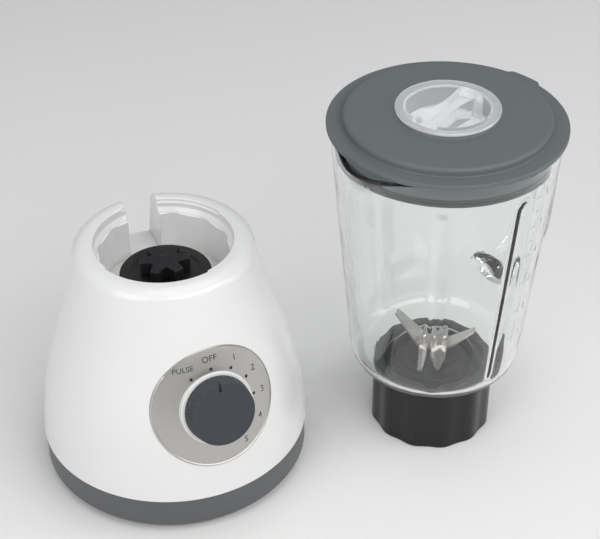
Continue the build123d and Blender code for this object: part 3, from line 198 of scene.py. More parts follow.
class LidSizes(bpy.types.PropertyGroup):
    """Sizes of the lid and the filler cap."""
    flange: length("Flange", 0.0735, "Radius of the lid's flange")
    flange_thick: length("Flange Thickness", 0.0032, "Thickness of the flange")
    disc: length("Disc", 0.0635, "Radius of the raised disc")
    disc_rise: length("Disc Rise", 0.0050, "How far the disc stands above the flange")
    wall: length("Wall", 0.0026, "Thickness of the moulded lid")
    tab: length("Tab", 0.0220, "Width of the lift tab over the handle")
    tab_reach: length("Tab Reach", 0.0024, "How far the tab stands out")
    hole: length("Hole", 0.0276, "Radius of the filler hole")
    hole_rise: length("Hole Rise", 0.0022, "How far the hole's rim stands above the disc")
    cap_flange: length("Cap Flange", 0.0322, "Radius of the cap's flange")
    cap_thick: length("Cap Thickness", 0.0022, "Thickness of the cap's flange")
    cap: length("Cap", 0.0272, "Radius of the cap's body")
    pocket: length("Pocket", 0.0256, "Radius of the finger pockets")
    pocket_depth: length("Pocket Depth", 0.0140, "Depth of the finger pockets")
    bar: length("Bar", 0.0165, "Width of the finger bar at its ends")
    waist: length("Waist", 0.0110, "Width of the finger bar in its middle")
    bar_turn: angle("Bar Turn", 24.0, "Azimuth of the finger bar")


class Colours(bpy.types.PropertyGroup):
    """Colours of the finishes that a user would change."""
    housing: colour("Housing", (0.80, 0.797, 0.785), "Glossy white plastic")
    cover: colour("Bottom Cover", (0.098, 0.101, 0.104), "Dark grey plastic")
    knob: colour("Knob", (0.043, 0.047, 0.056), "Slate plastic of the knob")
    lid: colour("Lid", (0.121, 0.136, 0.140), "Slate plastic of the lid")
    steel: colour("Plate", (0.54, 0.528, 0.505), "Brushed steel of the dial plate")
    glass: colour("Glass", (0.982, 0.994, 0.986), "Faint tint of the glass")
    black: colour("Black", (0.014, 0.014, 0.015), "Black plastic of the collar and coupling")
    ink: colour("Ink", (0.022, 0.022, 0.024), "Print on the dial")


class StageSettings(bpy.types.PropertyGroup):
    """The floor, the light and the camera."""
    turn: angle("Camera Turn", 25.6, "Turn of the view from straight ahead, +Y")
    elevation: angle("Camera Elevation", 36.53, "How far the camera looks down")
    roll: angle("Camera Roll", 0.33, "Roll of the camera")
    distance: length("Camera Distance", 1.0042, "From the camera to the middle of the view")
    focal: amount("Focal Length", 89.82, "Focal length in millimetres")
    floor: colour("Floor", (0.84, 0.832, 0.82), "Pale floor")
    world: amount("Room Light", 0.37, "Strength of the even light all round")


SETTINGS = (HousingSizes, DialSizes, JugSizes, LidSizes, Colours, StageSettings)


def settings(group):
    """The scene's values of one group of settings."""
    return getattr(bpy.context.scene, group.__name__)


# ------------------------------------------------------------------ finishes
class Wire:
    """A node's output that can stand in an expression; each operator adds its Math node."""

    def __init__(self, finish, socket):
        self.finish = finish
        self.socket = socket

    def __add__(self, other):
        return self.finish.add("Math", {"operation": "ADD"}, {0: self, 1: other})

    __radd__ = __add__

    def __mul__(self, other):
        return self.finish.add("Math", {"operation": "MULTIPLY"}, {0: self, 1: other})

    __rmul__ = __mul__


class Finish:
    """One material, laid out node by node."""

    def __init__(self, name):
        self.material = bpy.data.materials.new(name)
        self.material.use_nodes = True
        self.tree = self.material.node_tree
        self.tree.nodes.clear()

    def add(self, kind, choices=None, sockets=None, output=0):
        """Add a node: first its choices, then the values or links of its sockets."""
        node = self.tree.nodes.new("ShaderNode" + kind)
        for key, value in (choices or {}).items():
            setattr(node, key, value)
        for key, value in (sockets or {}).items():
            if isinstance(value, Wire):
                self.tree.links.new(value.socket, node.inputs[key])
            else:
                node.inputs[key].default_value = value
        return Wire(self, node.outputs[output]) if node.outputs else None

    def place(self, stretch=(1, 1, 1)):
        """The point on the piece in the row frame, stretched along the axes."""
        point = self.add("TexCoord", output="Object")
        return self.add("Mapping", {"vector_type": "POINT"}, {"Vector": point, "Scale": stretch})

    def noise(self, scale, detail=3.0, stretch=(1, 1, 1)):
        """Soft random values from 0 to 1, with scale patches to the metre."""
        return self.add("TexNoise", {}, {"Vector": self.place(stretch), "Scale": scale, "Detail": detail})

    def blend(self, factor, first, second):
        """A colour between first and second."""
        return self.add("Mix", {"data_type": "RGBA"}, {0: factor, 6: first, 7: second}, output=2)

    def bump(self, height, depth):
        """A normal from a height of 0 to 1 that is depth metres deep."""
        return self.add("Bump", {}, {"Height": height, "Distance": depth})

    def surface(self, **sockets):
        """The main shader, with underscores for the spaces in its socket names."""
        named = {key.replace("_", " "): value for key, value in sockets.items()}
        return self.add("BsdfPrincipled", {}, named)

    def done(self, shader):
        """Link the shader to the output and hand back the material."""
        self.add("OutputMaterial", {}, {"Surface": shader})
        return self.material


def opaque(shade, factor=1.0):
    """A colour with its alpha, scaled by factor."""
    return tuple(min(1.0, part * factor) for part in shade[:3]) + (1.0,)


def moulded(name, shade, roughness, grain=1400.0, depth=0.00002, coat=0.0, spread=0.05, shine=0.5):
    """Moulded plastic: faint clouding in its colour and gloss, and a fine grain."""
    finish = Finish(name)
    cloud = finish.noise(35.0, 4.0)
    gloss = finish.noise(180.0, 3.0)
    return finish.done(finish.surface(
        Base_Color=finish.blend(cloud, opaque(shade, 1 - spread), opaque(shade, 1 + spread)),
        Roughness=roughness * (0.85 + 0.3 * gloss),
        Coat_Weight=coat,
        Coat_Roughness=0.06,
        Specular_IOR_Level=shine,
        IOR=1.5,
        Normal=finish.bump(finish.noise(grain, 2.0), depth),
    ))


def brushed(name, shade, roughness, stretch, depth=0.00002):
    """Metal ground in one direction: streaks in its colour, gloss and surface."""
    finish = Finish(name)
    streak = finish.noise(1.0, 4.0, stretch)
    cloud = finish.noise(60.0, 3.0)
    return finish.done(finish.surface(
        Base_Color=finish.blend(streak, opaque(shade, 0.88), opaque(shade, 1.08)),
        Metallic=1.0,
        Roughness=roughness * (0.7 + 0.4 * streak + 0.2 * cloud),
        Normal=finish.bump(streak, depth),
    ))


def banded(name, shade, roughness, metallic, pitch):
    """Stacked sheets or wound wire: fine level bands, darker where they meet."""
    finish = Finish(name)
    wave = finish.add("TexWave", {"wave_type": "BANDS", "bands_direction": "Z"},
                      {"Vector": finish.place(), "Scale": 0.314 / pitch, "Distortion": 0.4})
    return finish.done(finish.surface(
        Base_Color=finish.blend(wave, opaque(shade, 0.45), opaque(shade)),
        Metallic=metallic,
        Roughness=roughness,
        Normal=finish.bump(wave, 0.3 * pitch),
    ))


def clear(name, tint, ior, haze, milk=0.0):
    """Glass or clear plastic that lets the lamps' light through, with faint waves in its surface."""
    finish = Finish(name)
    glass = finish.surface(
        Base_Color=opaque(tint),
        Roughness=haze,
        IOR=ior,
        Transmission_Weight=1.0 - milk,
        Normal=finish.bump(finish.noise(45.0, 1.0), 0.00012),
    )
    lamp_ray = finish.add("LightPath", output="Is Shadow Ray")
    passing = finish.add("BsdfTransparent", {}, {"Color": opaque(tint, 0.95)})
    return finish.done(finish.add("MixShader", {}, {0: lamp_ray, 1: glass, 2: passing}))


def all_finishes():
    """Every finish by the name of its material slot."""
    pick = settings(Colours)
    return {
        "housing_white": moulded("glossy white shell", pick.housing, 0.23, 900.0, 0.000006, 0.35, 0.008),
        "cover_grey": moulded("grey cover", pick.cover, 0.42, 2200.0, 0.00003),
        "rubber_black": moulded("black rubber", (0.02, 0.02, 0.02), 0.75, 2600.0, 0.00005),
        "plate_steel": brushed("brushed dial plate", pick.steel, 0.36, (90, 5200, 5200)),
        "knob_slate": moulded("slate knob", pick.knob, 0.34, 2600.0, 0.000015, shine=0.35),
        "switch_plastic": moulded("black switch", (0.03, 0.03, 0.03), 0.5),
        "screw_steel": brushed("zinc screw", (0.55, 0.55, 0.56), 0.35, (600, 600, 3000)),
        "lamination": banded("stacked laminations", (0.3, 0.3, 0.31), 0.45, 1.0, 0.001),
        "copper": banded("enamelled wire", (0.62, 0.24, 0.10), 0.3, 1.0, 0.0008),
        "bracket_alu": brushed("cast bracket", (0.62, 0.63, 0.64), 0.5, (400, 400, 400), 0.00006),
        "carbon": moulded("pressed carbon", (0.03, 0.03, 0.03), 0.6, 3000.0, 0.00004),
        "brass_part": brushed("brass holder", (0.7, 0.52, 0.24), 0.35, (200, 2600, 2600)),
        "fan_plastic": moulded("nylon fan", (0.72, 0.72, 0.68), 0.45),
        "coupling_black": moulded("black coupling", pick.black, 0.34, 1600.0, 0.00003, shine=0.3),
        "jug_glass": clear("jug glass", pick.glass, 1.49, 0.0),
        "collar_black": moulded("black collar", pick.black, 0.18, 900.0, 0.000012, shine=0.32),
        "seal_rubber": moulded("grey seal", (0.035, 0.037, 0.04), 0.5, 1500.0, 0.00002),
        "blade_steel": brushed("ground blade", (0.66, 0.63, 0.61), 0.28, (4200, 160, 4200)),
        "lid_slate": moulded("slate lid", pick.lid, 0.50, 2400.0, 0.00003, 0.0, 0.03),
        "cap_clear": clear("clear cap", (0.95, 0.955, 0.96), 1.42, 0.15, 0.20),
        "print_ink": moulded("dial print", pick.ink, 0.5),
        "scale_ink": moulded("scale print", (0.30, 0.32, 0.32), 0.6),
    }


# ------------------------------------------------------------------ mesh tools
def linked(name, data):
    """A new object in the scene."""
    made = bpy.data.objects.new(name, data)
    bpy.context.scene.collection.objects.link(made)
    return made


def baked(item):
    """The object's mesh as its modifiers leave it."""
    bpy.context.view_layer.update()
    return bpy.data.meshes.new_from_object(item.evaluated_get(bpy.context.evaluated_depsgraph_get()))


def as_drawn(across, up, height):
    """Places a solid's points where its outline has them."""
    return Vector((across, up, height))


def arc(radius, start, end, steps):
    """Points of an arc about the origin, both ends with it."""
    return [(radius * math.cos(t), radius * math.sin(t)) for t in np.linspace(start, end, steps)]


def smoothed(points):
    """A twice-smooth curve through (place, value) points, as a function of place."""
    places, values = (np.array(column, float) for column in zip(*points))
    gaps = np.diff(places)
    slopes = np.diff(values) / gaps
    size = len(places)
    system = np.eye(size)
    side = np.zeros(size)
    for k in range(1, size - 1):
        system[k, k - 1:k + 2] = gaps[k - 1], 2 * (gaps[k - 1] + gaps[k]), gaps[k]
        side[k] = 6 * (slopes[k] - slopes[k - 1])
    bends = np.linalg.solve(system, side)

    def value(place):
        k = int(np.clip(np.searchsorted(places, place) - 1, 0, size - 2))
        on = place - places[k]
        start = slopes[k] - gaps[k] * (2 * bends[k] + bends[k + 1]) / 6
        return values[k] + on * (start + on * (bends[k] / 2 + on * (bends[k + 1] - bends[k]) / (6 * gaps[k])))

    return value


def bezier(first, second, third, last, steps):
    """Points along a cubic curve, without its first one."""
    first, second, third, last = map(Vector, (first, second, third, last))
    points = []
    for k in range(1, steps + 1):
        t = k / steps
        points.append(tuple((1 - t) ** 3 * first + 3 * t * (1 - t) ** 2 * second
                            + 3 * t * t * (1 - t) * third + t ** 3 * last))
    return points


def rounded(corners, steps=4):
    """Outline of (across, up, rounding) corners, with each rounding drawn as a bend."""
    points = []
    for k, (across, up, rounding) in enumerate(corners):
        here = Vector((across, up))
        if rounding == 0:
            points.append(tuple(here))
            continue
        back = (Vector(corners[k - 1][:2]) - here).normalized() * rounding
        on = (Vector(corners[(k + 1) % len(corners)][:2]) - here).normalized() * rounding
        for step in range(steps + 1):
            t = step / steps
            points.append(tuple(here + back * (1 - t) ** 2 + on * t * t))
    return points


def mesh_from(name, work):
    """Turn a finished work mesh into a smooth shaded mesh with its sharp edges marked."""
    bmesh.ops.remove_doubles(work, verts=work.verts, dist=1e-7)
    bmesh.ops.recalc_face_normals(work, faces=work.faces)
    mesh = bpy.data.meshes.new(name)
    work.to_mesh(mesh)
    work.free()
    mesh.shade_smooth()
    mesh.set_sharp_from_angle(angle=SHARP)
    return mesh


def quilt(rows, close_rows=False, close_columns=True):
    """A work mesh of quads over rows of points.  A row of one point is a pole."""
    work = bmesh.new()
    laid = [[work.verts.new(point) for point in row] for row in rows]
    pairs = list(zip(laid, laid[1:]))
    if close_rows:
        pairs.append((laid[-1], laid[0]))
    for low, high in pairs:
        columns = max(len(low), len(high))
        for k in range(columns if close_columns else columns - 1):
            corners = (low[k % len(low)], low[(k + 1) % len(low)],
                       high[(k + 1) % len(high)], high[k % len(high)])
            corners = list(dict.fromkeys(corners))
            if len(corners) > 2:
                work.faces.new(corners)
    return work


def lathe(outline, around=160, centre=Vector((0, 0, 0)), reach=None):
    """Turn an outline of (radius, height) points about an upright axis.

    reach(radius, height, azimuth) may give another radius.  An outline that starts and
    ends on the axis closes there; any other one closes on itself.
    """
    rows = []
    for radius, height in outline:
        if radius < 1e-6:
            rows.append([centre + Vector((0, 0, height))])
            continue
        row = []
        for k in range(around):
            azimuth = FULL_TURN * k / around
            far = reach(radius, height, azimuth) if reach else radius
            row.append(centre + Vector((far * math.cos(azimuth), far * math.sin(azimuth), height)))
        rows.append(row)
    return quilt(rows, close_rows=len(rows[0]) > 1 or len(rows[-1]) > 1)


def prism(outline, low, high, place):
    """A work mesh of a straight solid.  place(across, up, height) puts its points."""
    work = bmesh.new()
    ends = [[work.verts.new(place(across, up, height)) for across, up in outline] for height in (low, high)]
    for k in range(len(outline)):
        after = (k + 1) % len(outline)
        work.faces.new((ends[0][k], ends[0][after], ends[1][after], ends[1][k]))
    caps = [work.faces.new(ends[0][::-1]), work.faces.new(ends[1])]
    return work, caps


def soften(work, edges, width, steps=3):
    """Round edges of a work mesh."""
    bmesh.ops.bevel(work, geom=list(edges), offset=width, segments=steps, profile=0.5, affect="EDGES")


def piece(name, mesh, finish, body, slot, *replaced):
    """Link a mesh as a piece of a body, in a finish, in place of CAD nodes."""
    made = linked(name, mesh)
    mesh.materials.clear()
    mesh.materials.append(finish)
    even = made.modifiers.new("even shading", "WEIGHTED_NORMAL")
    even.keep_sharp = True
    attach(made, body)
    if replaced:
        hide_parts(*replaced)
    return made


def combine(mesh, other, operation):
    """The first mesh joined with or cut by the second one."""
    kept = linked("kept", mesh)
    tool = linked("tool", other)
    change = kept.modifiers.new("change", "BOOLEAN")
    change.object = tool
    change.operation = operation
    change.solver = "EXACT"
    result = baked(kept)
    for item in (kept, tool):
        bpy.data.objects.remove(item)
    result.shade_smooth()
    result.set_sharp_from_angle(angle=SHARP)
    return result


def polar(turn, radius, height):
    """A point beside the jug's axis."""
    return JUG_AXIS + Vector((radius * math.cos(turn), radius * math.sin(turn), height))


# ------------------------------------------------------------------ housing
def measured_skin():
    """Outer radius of the housing by height, felt on the CAD node between dial and slot."""
    size = settings(HousingSizes)
    node = frame["nodes"]["base_housing"]
    points = [vertex.co for vertex in node.data.vertices]
    felt = BVHTree.FromPolygons(points, [list(face.vertices) for face in node.data.polygons])
    inward = Vector((-1, -1, 0)).normalized()
    levels = np.linspace(HOUSING_LOW.z + 1e-4, HOUSING_HIGH.z - size.shoulder_drop, 9)
    skin = []
    for level in levels:
        hit = felt.ray_cast(Vector((0, 0, level)) - 0.3 * inward, inward)[0]
        if hit is None:
            raise RuntimeError("the housing's skin was not met")
        skin.append((level, hit.to_2d().length))
    return smoothed(skin)


def housing_outline(skin):
    """Closed outline of the housing, and the places in it of the slot's two lower edges."""
    size = settings(HousingSizes)
    top = HOUSING_HIGH.z
    shoulder = top - size.shoulder_drop
    floor = top - size.well_depth
    low = HOUSING_LOW.z
    side = [(skin(z), z) for z in np.linspace(low, floor, 26)]
    outer_foot = len(side) - 1
    side += [(skin(z), z) for z in np.linspace(floor, shoulder, 8)[1:]]
    drop = size.shoulder_drop
    side += bezier((skin(shoulder), shoulder), (skin(shoulder) - 0.06 * drop, shoulder + 0.55 * drop),
                   (size.rim_flat + 0.45 * (skin(shoulder) - size.rim_flat), top), (size.rim_flat, top), 8)
    lobed_wall = size.wall_crest
    under_band = top - size.band
    side += rounded([
        (size.rim_flat - 0.0012, top, 0), (size.well, top, size.edge),
        (size.well, top - size.recess_height, 0),
        (size.well, top - size.recess_height - 0.0003, 0),
        (size.well, under_band, 0.0006), (lobed_wall, under_band - size.slope, 0.0008),
        (lobed_wall, 0.5 * (under_band + floor), 0), (lobed_wall, floor, 0),
    ])
    inner_foot = len(side) - 1
    boss_top = floor + size.boss_height
    under = size.wall
    side += rounded([
        (size.boss + 0.001, floor, 0), (size.boss, floor + 0.001, 0), (size.boss, boss_top, size.edge),
        (0.006, boss_top, 0), (0.006, boss_top - under, 0), (size.boss - under, boss_top - under, 0),
        (size.boss - under, floor - under, 0),
    ])
    side += [(skin(z) - under, z) for z in np.linspace(floor - under, low, 6)]
    return side, outer_foot, inner_foot


def make_housing(finish):
    """The white shell: turned, with lobes, recesses and the open slot in its socket."""
    size = settings(HousingSizes)
    outline, outer_foot, inner_foot = housing_outline(measured_skin())
    half = size.slot / 2
    least = outline[inner_foot][0]
    outside, inside = 300, 12
    recess_top = HOUSING_HIGH.z - size.recess_height

    def reach(radius, height, azimuth):
        if size.wall_crest - 1e-5 < radius < size.wall_crest + 1e-5:
            return radius - size.wall_wave * (1 - math.cos(12 * azimuth)) / 2
        if radius < size.well + size.edge and radius > size.wall_crest and height > recess_top - 1e-5:
            along = (azimuth - size.recess_start) % math.pi
            if along < size.recess_span:
                return radius + size.recess
        return radius

    def point(radius, height, edge_share, in_slot):
        edge = math.asin(half / max(radius, least))
        if in_slot:
            turned = edge * (2 * edge_share - 1)
        else:
            turned = edge + (FULL_TURN - 2 * edge) * edge_share
        far = reach(radius, height, size.slot_turn + turned)
        if not in_slot and edge_share in (0, 1) and radius >= least:
            across = half if edge_share == 0 else -half
            local = Vector((math.sqrt(far * far - half * half), across, height))
        else:
            local = Vector((far * math.cos(turned), far * math.sin(turned), height))
        return Matrix.Rotation(size.slot_turn, 3, "Z") @ local

    work = bmesh.new()
    walls, floors = [], []
    for number, (radius, height) in enumerate(outline):
        walls.append([work.verts.new(point(radius, height, k / outside, False)) for k in range(outside + 1)])
        if outer_foot < number < inner_foot:
            floors.append(None)
            continue
        middle = [work.verts.new(point(radius, height, k / inside, True)) for k in range(1, inside)]
        floors.append([walls[-1][-1], *middle, walls[-1][0]])

    def strip(low, high):
        for k in range(len(low) - 1):
            work.faces.new((low[k], low[k + 1], high[k + 1], high[k]))

    rows = len(outline)
    for number in range(rows):
        after = (number + 1) % rows
        strip(walls[number], walls[after])
        if floors[number] and floors[after]:
            strip(floors[number], floors[after])
    strip(floors[outer_foot], floors[inner_foot])
    edges = []
    for column in (0, -1):
        ring = [walls[number][column] for number in range(outer_foot, inner_foot + 1)]
        face = work.faces.new(ring)
        edges += face.edges
    bmesh.ops.recalc_face_normals(work, faces=work.faces)
    soften(work, set(edges), 0.0006)
    return piece("housing_shell", mesh_from("housing_shell", work), finish["housing_white"], "base",
                 "housing_white", "base_housing")


# ------------------------------------------------------------------ dial
def dial_point(across, up, out):
    """A point on or over the dial's plane."""
    return DIAL_CENTRE + DIAL_RIGHT * across + DIAL_UP * up + DIAL_OUT * out


def on_skin(skin, across, up, out):
    """A point out metres over the housing's skin, under the same spot of the dial's plane."""
    lift = 0.0
    for _ in range(8):
        spot = dial_point(across, up, lift)
        lift += (skin(spot.z) - spot.to_2d().length) / -DIAL_OUT.y
    return dial_point(across, up, lift + out)


def make_plate(finish):
    """The brushed plate, bent to the housing, with a bright raised rim."""
    size = settings(DialSizes)
    skin = measured_skin()
    thick = size.plate_thick
    inner = size.ring - 0.0004
    section = [(inner, 0.0)] + [(inner, 0.6 * thick)]
    steps = np.linspace(inner + 0.0015, size.plate - size.plate_rim, 9)
    section += [(radius, 0.6 * thick) for radius in steps]
    section += [(size.plate - 0.7 * size.plate_rim, thick), (size.plate - 0.3 * size.plate_rim, thick),
                (size.plate, 0.35 * thick), (size.plate, 0.0)]
    rows = []
    for radius, out in section:
        row = []
        for k in range(180):
            turned = FULL_TURN * k / 180
            row.append(on_skin(skin, radius * math.cos(turned), radius * math.sin(turned), out))
        rows.append(row)
    work = quilt(rows, close_rows=True)
    return piece("dial_face", mesh_from("dial_face", work), finish["plate_steel"], "base", "plate_steel",
                 "dial_plate")


def dial_lathe(outline, around=180, reach=None):
    """Turn an outline of (radius, height) points about the dial's axis."""
    work = lathe(outline, around, reach=reach)
    stand = Matrix((DIAL_RIGHT, DIAL_UP, DIAL_OUT)).transposed()
    for vertex in work.verts:
        vertex.co = DIAL_CENTRE + stand @ vertex.co
    return work


def make_ring(finish):
    """The white ring that stands round the knob."""
    size = settings(DialSizes)
    work = dial_lathe(rounded([
        (size.ring - 0.0026, -0.004, 0), (size.ring, -0.004, 0), (size.ring, size.ring_rise, 0.0007),
        (size.ring - 0.0026, size.ring_rise, 0.0007),
    ]))
    return piece("dial_ring", mesh_from("dial_ring", work), finish["housing_white"], "base", "housing_white")


def make_knob(finish):
    """The ribbed knob with its pointer notch."""
    size = settings(DialSizes)
    foot = size.ring_rise + size.knob_gap
    top = foot + size.knob_height
    wide = size.knob + size.knob_spread

    def ribbed(radius, height, azimuth):
        if radius < size.knob - 0.0007 or height > top - 0.0006:
            return radius
        return radius - 0.00022 * (1 - math.cos(size.knob_ribs * azimuth))

    work = dial_lathe(rounded([
        (0, foot + 0.002, 0), (wide - 0.003, foot + 0.002, 0), (wide - 0.003, foot, 0.0004),
        (wide, foot, 0.0003), (size.knob, top, 0.0008), (size.knob - 0.0016, top, 0),
        (size.knob - 0.0019, top - 0.00012, 0),
        (size.knob - 0.0025, top - 0.00012, 0), (0, top - 0.00012, 0),
    ]), 8 * size.knob_ribs, ribbed)
    mesh = mesh_from("knob", work)
    half = size.notch / 2
    notch = [(across, size.knob - size.notch_long + up) for across, up in arc(half, math.pi, FULL_TURN, 9)]
    notch += [(half, size.knob + 0.002), (-half, size.knob + 0.002)]
    cutter, _ = prism(notch, top - 0.0014, top + 0.001, dial_point)
    mesh = combine(mesh, mesh_from("notch", cutter), "DIFFERENCE")
    return piece("knob", mesh, finish["knob_slate"], "knob", "knob_slate", "speed_knob")


def lettering(words, height):
    """A flat mesh of a short mark, centred on its own origin."""
    curve = bpy.data.curves.new("mark", "FONT")
    curve.body = words
    curve.size = height / 0.7
    curve.align_x = "CENTER"
    curve.align_y = "CENTER"
    curve.extrude = PRINT_THICK
    holder = linked("mark", curve)
    mesh = baked(holder)
    bpy.data.objects.remove(holder)
    return mesh


def print_marks(name, marks, place, finish, body, slot):
    """Join flat marks, each (mesh, across, up), and lay them on a surface with place."""
    work = bmesh.new()
    for mesh, across, up in marks:
        start = len(work.verts)
        work.from_mesh(mesh)
        work.verts.ensure_lookup_table()
        for vertex in work.verts[start:]:
            vertex.co = place(vertex.co.x + across, vertex.co.y + up, vertex.co.z)
        bpy.data.meshes.remove(mesh)
    mesh = bpy.data.meshes.new(name)
    work.to_mesh(mesh)
    work.free()
    return piece(name, mesh, finish, body, slot)


def make_dial_print(finish):
    """Dots and figures round the dial."""
    size = settings(DialSizes)
    skin = measured_skin()
    marks = []
    for number, words in enumerate(("PULSE", "OFF", "1", "2", "3", "4", "5")):
        turned = math.pi / 2 - (number - 1) * size.step
        high = size.figure_size * (0.74 if words == "PULSE" else 0.86 if words == "OFF" else 0.92)
        far = size.figures + (0.0012 if words == "PULSE" else 0.0)
        marks.append((lettering(words, high), far * math.cos(turned), far * math.sin(turned)))
        dot, _ = prism(arc(size.dot, 0, FULL_TURN, 17)[:-1], -PRINT_THICK, PRINT_THICK, as_drawn)
        marks.append((mesh_from("dot", dot), size.dots * math.cos(turned), size.dots * math.sin(turned)))
    surface = 0.6 * size.plate_thick + PRINT_GAP
    print_marks("dial_print", marks, lambda x, y, z: on_skin(skin, x, y, z + surface),
                finish["print_ink"], "base", "plate_steel")


# ------------------------------------------------------------------ coupling in the socket
def make_coupling(finish):
    """The star of the drive coupling, with softened teeth, and the disc under it."""
    teeth, outer, root = 6, 0.0158, 0.0086
    turned = math.radians(-16)
    outline = []
    for tooth in range(teeth):
        for offset, radius in ((-0.42, root), (-0.20, outer), (0.20, outer), (0.42, root)):
            at = turned + (tooth + offset) * FULL_TURN / teeth
            outline.append((radius * math.cos(at), radius * math.sin(at)))
    work, caps = prism(outline, STAR_LOW.z, STAR_HIGH.z, as_drawn)
    soften(work, [edge for edge in work.edges if edge not in set(caps[0].edges)], 0.0007)
    star = mesh_from("star", work)
    bore = mesh_from("bore", lathe([(0, STAR_HIGH.z - 0.0006), (0.0040, STAR_HIGH.z - 0.0006),
                                    (0.0052, STAR_HIGH.z + 0.001), (0, STAR_HIGH.z + 0.001)], 48))
    star = combine(star, bore, "DIFFERENCE")
    piece("drive_star", star, finish["coupling_black"], "rotor", "coupling_black", "drive_coupling")
    rim = SPLASH_HIGH.x
    disc = lathe(rounded([
        (0.0062, SPLASH_LOW.z, 0), (rim, SPLASH_LOW.z, 0.0004), (rim, SPLASH_HIGH.z, 0.0010),
        (0.0225, SPLASH_HIGH.z, 0.0003), (0.0215, SPLASH_HIGH.z - 0.0007, 0.0003),
        (0.0062, SPLASH_HIGH.z - 0.0007, 0.0003),
    ]))
    piece("splash_ring", mesh_from("splash_ring", disc), finish["coupling_black"], "base", "rubber_black",
          "splash_disc")


# ------------------------------------------------------------------ jug
def wall_radius(height):
    """Outer radius of the leaning glass wall."""
    size = settings(JugSizes)
    start = size.bottom + size.corner
    return size.foot + (size.rim - size.foot) * (height - start) / (GLASS_HIGH.z - start)


def rib_height(azimuth, height):
    """How far the nearest inner rib stands in at a spot of the wall."""
    size = settings(JugSizes)
    best = 0.0
    for number in range(8):
        if number in (0, 4):
            continue
        away = (azimuth - size.rib_turn - number * math.pi / 4 + math.pi) % FULL_TURN - math.pi
        across = away * (wall_radius(height) - size.glass)
        past = max(size.rib_low - height, height - size.rib_high, 0.0)
        off = math.hypot(across, past) / size.rib_width
        if off < 1:
            best = max(best, size.rib_depth * (0.5 + 0.5 * math.cos(math.pi * off)))
    return best


def spout_push(azimuth, height):
    """How far the spout pushes the wall out at a spot."""
    size = settings(JugSizes)
    away = abs(azimuth - math.pi)
    rise = (height - GLASS_HIGH.z + size.spout_height) / size.spout_height
    if away > 2 * size.spout_width or rise <= 0:
        return 0.0
    across = 0.5 + 0.5 * math.cos(math.pi * away / (2 * size.spout_width))
    return size.spout_reach * rise ** 2 * across ** 1.5


def glass_outline():
    """Closed outline of the glass, with True where a point is on the inside."""
    size = settings(JugSizes)
    top = GLASS_HIGH.z
    start = size.bottom + size.corner
    inner_floor = size.bottom + size.glass
    inner_corner = size.corner - size.glass
    points = []
    for radius, height in rounded([(size.bore, GLASS_LOW.z, 0.0008), (size.neck, GLASS_LOW.z, 0.0008),
                                   (size.neck, size.bottom, 0.0006)], 3):
        points.append((radius, height, False))
    for k in range(10):
        t = math.pi / 2 * k / 9
        points.append((size.foot - size.corner * (1 - math.sin(t)), start - size.corner * math.cos(t), False))
    for height in np.linspace(start, top - 0.0024, 60)[1:]:
        points.append((wall_radius(height), height, False))
    lip = size.glass / 2
    for k in range(1, 8):
        t = math.pi * k / 8
        points.append((wall_radius(top) - lip + lip * math.cos(t), top - lip + lip * math.sin(t), k > 3))
    for height in np.linspace(top - 0.0024, start, 60)[:-1]:
        points.append((wall_radius(height) - size.glass, height, True))
    for k in range(10):
        t = math.pi / 2 * k / 9
        radius = wall_radius(start) - size.glass - inner_corner * (1 - math.cos(t))
        points.append((radius, start - inner_corner * math.sin(t), True))
    points.append((size.bore, inner_floor, True))
    return points


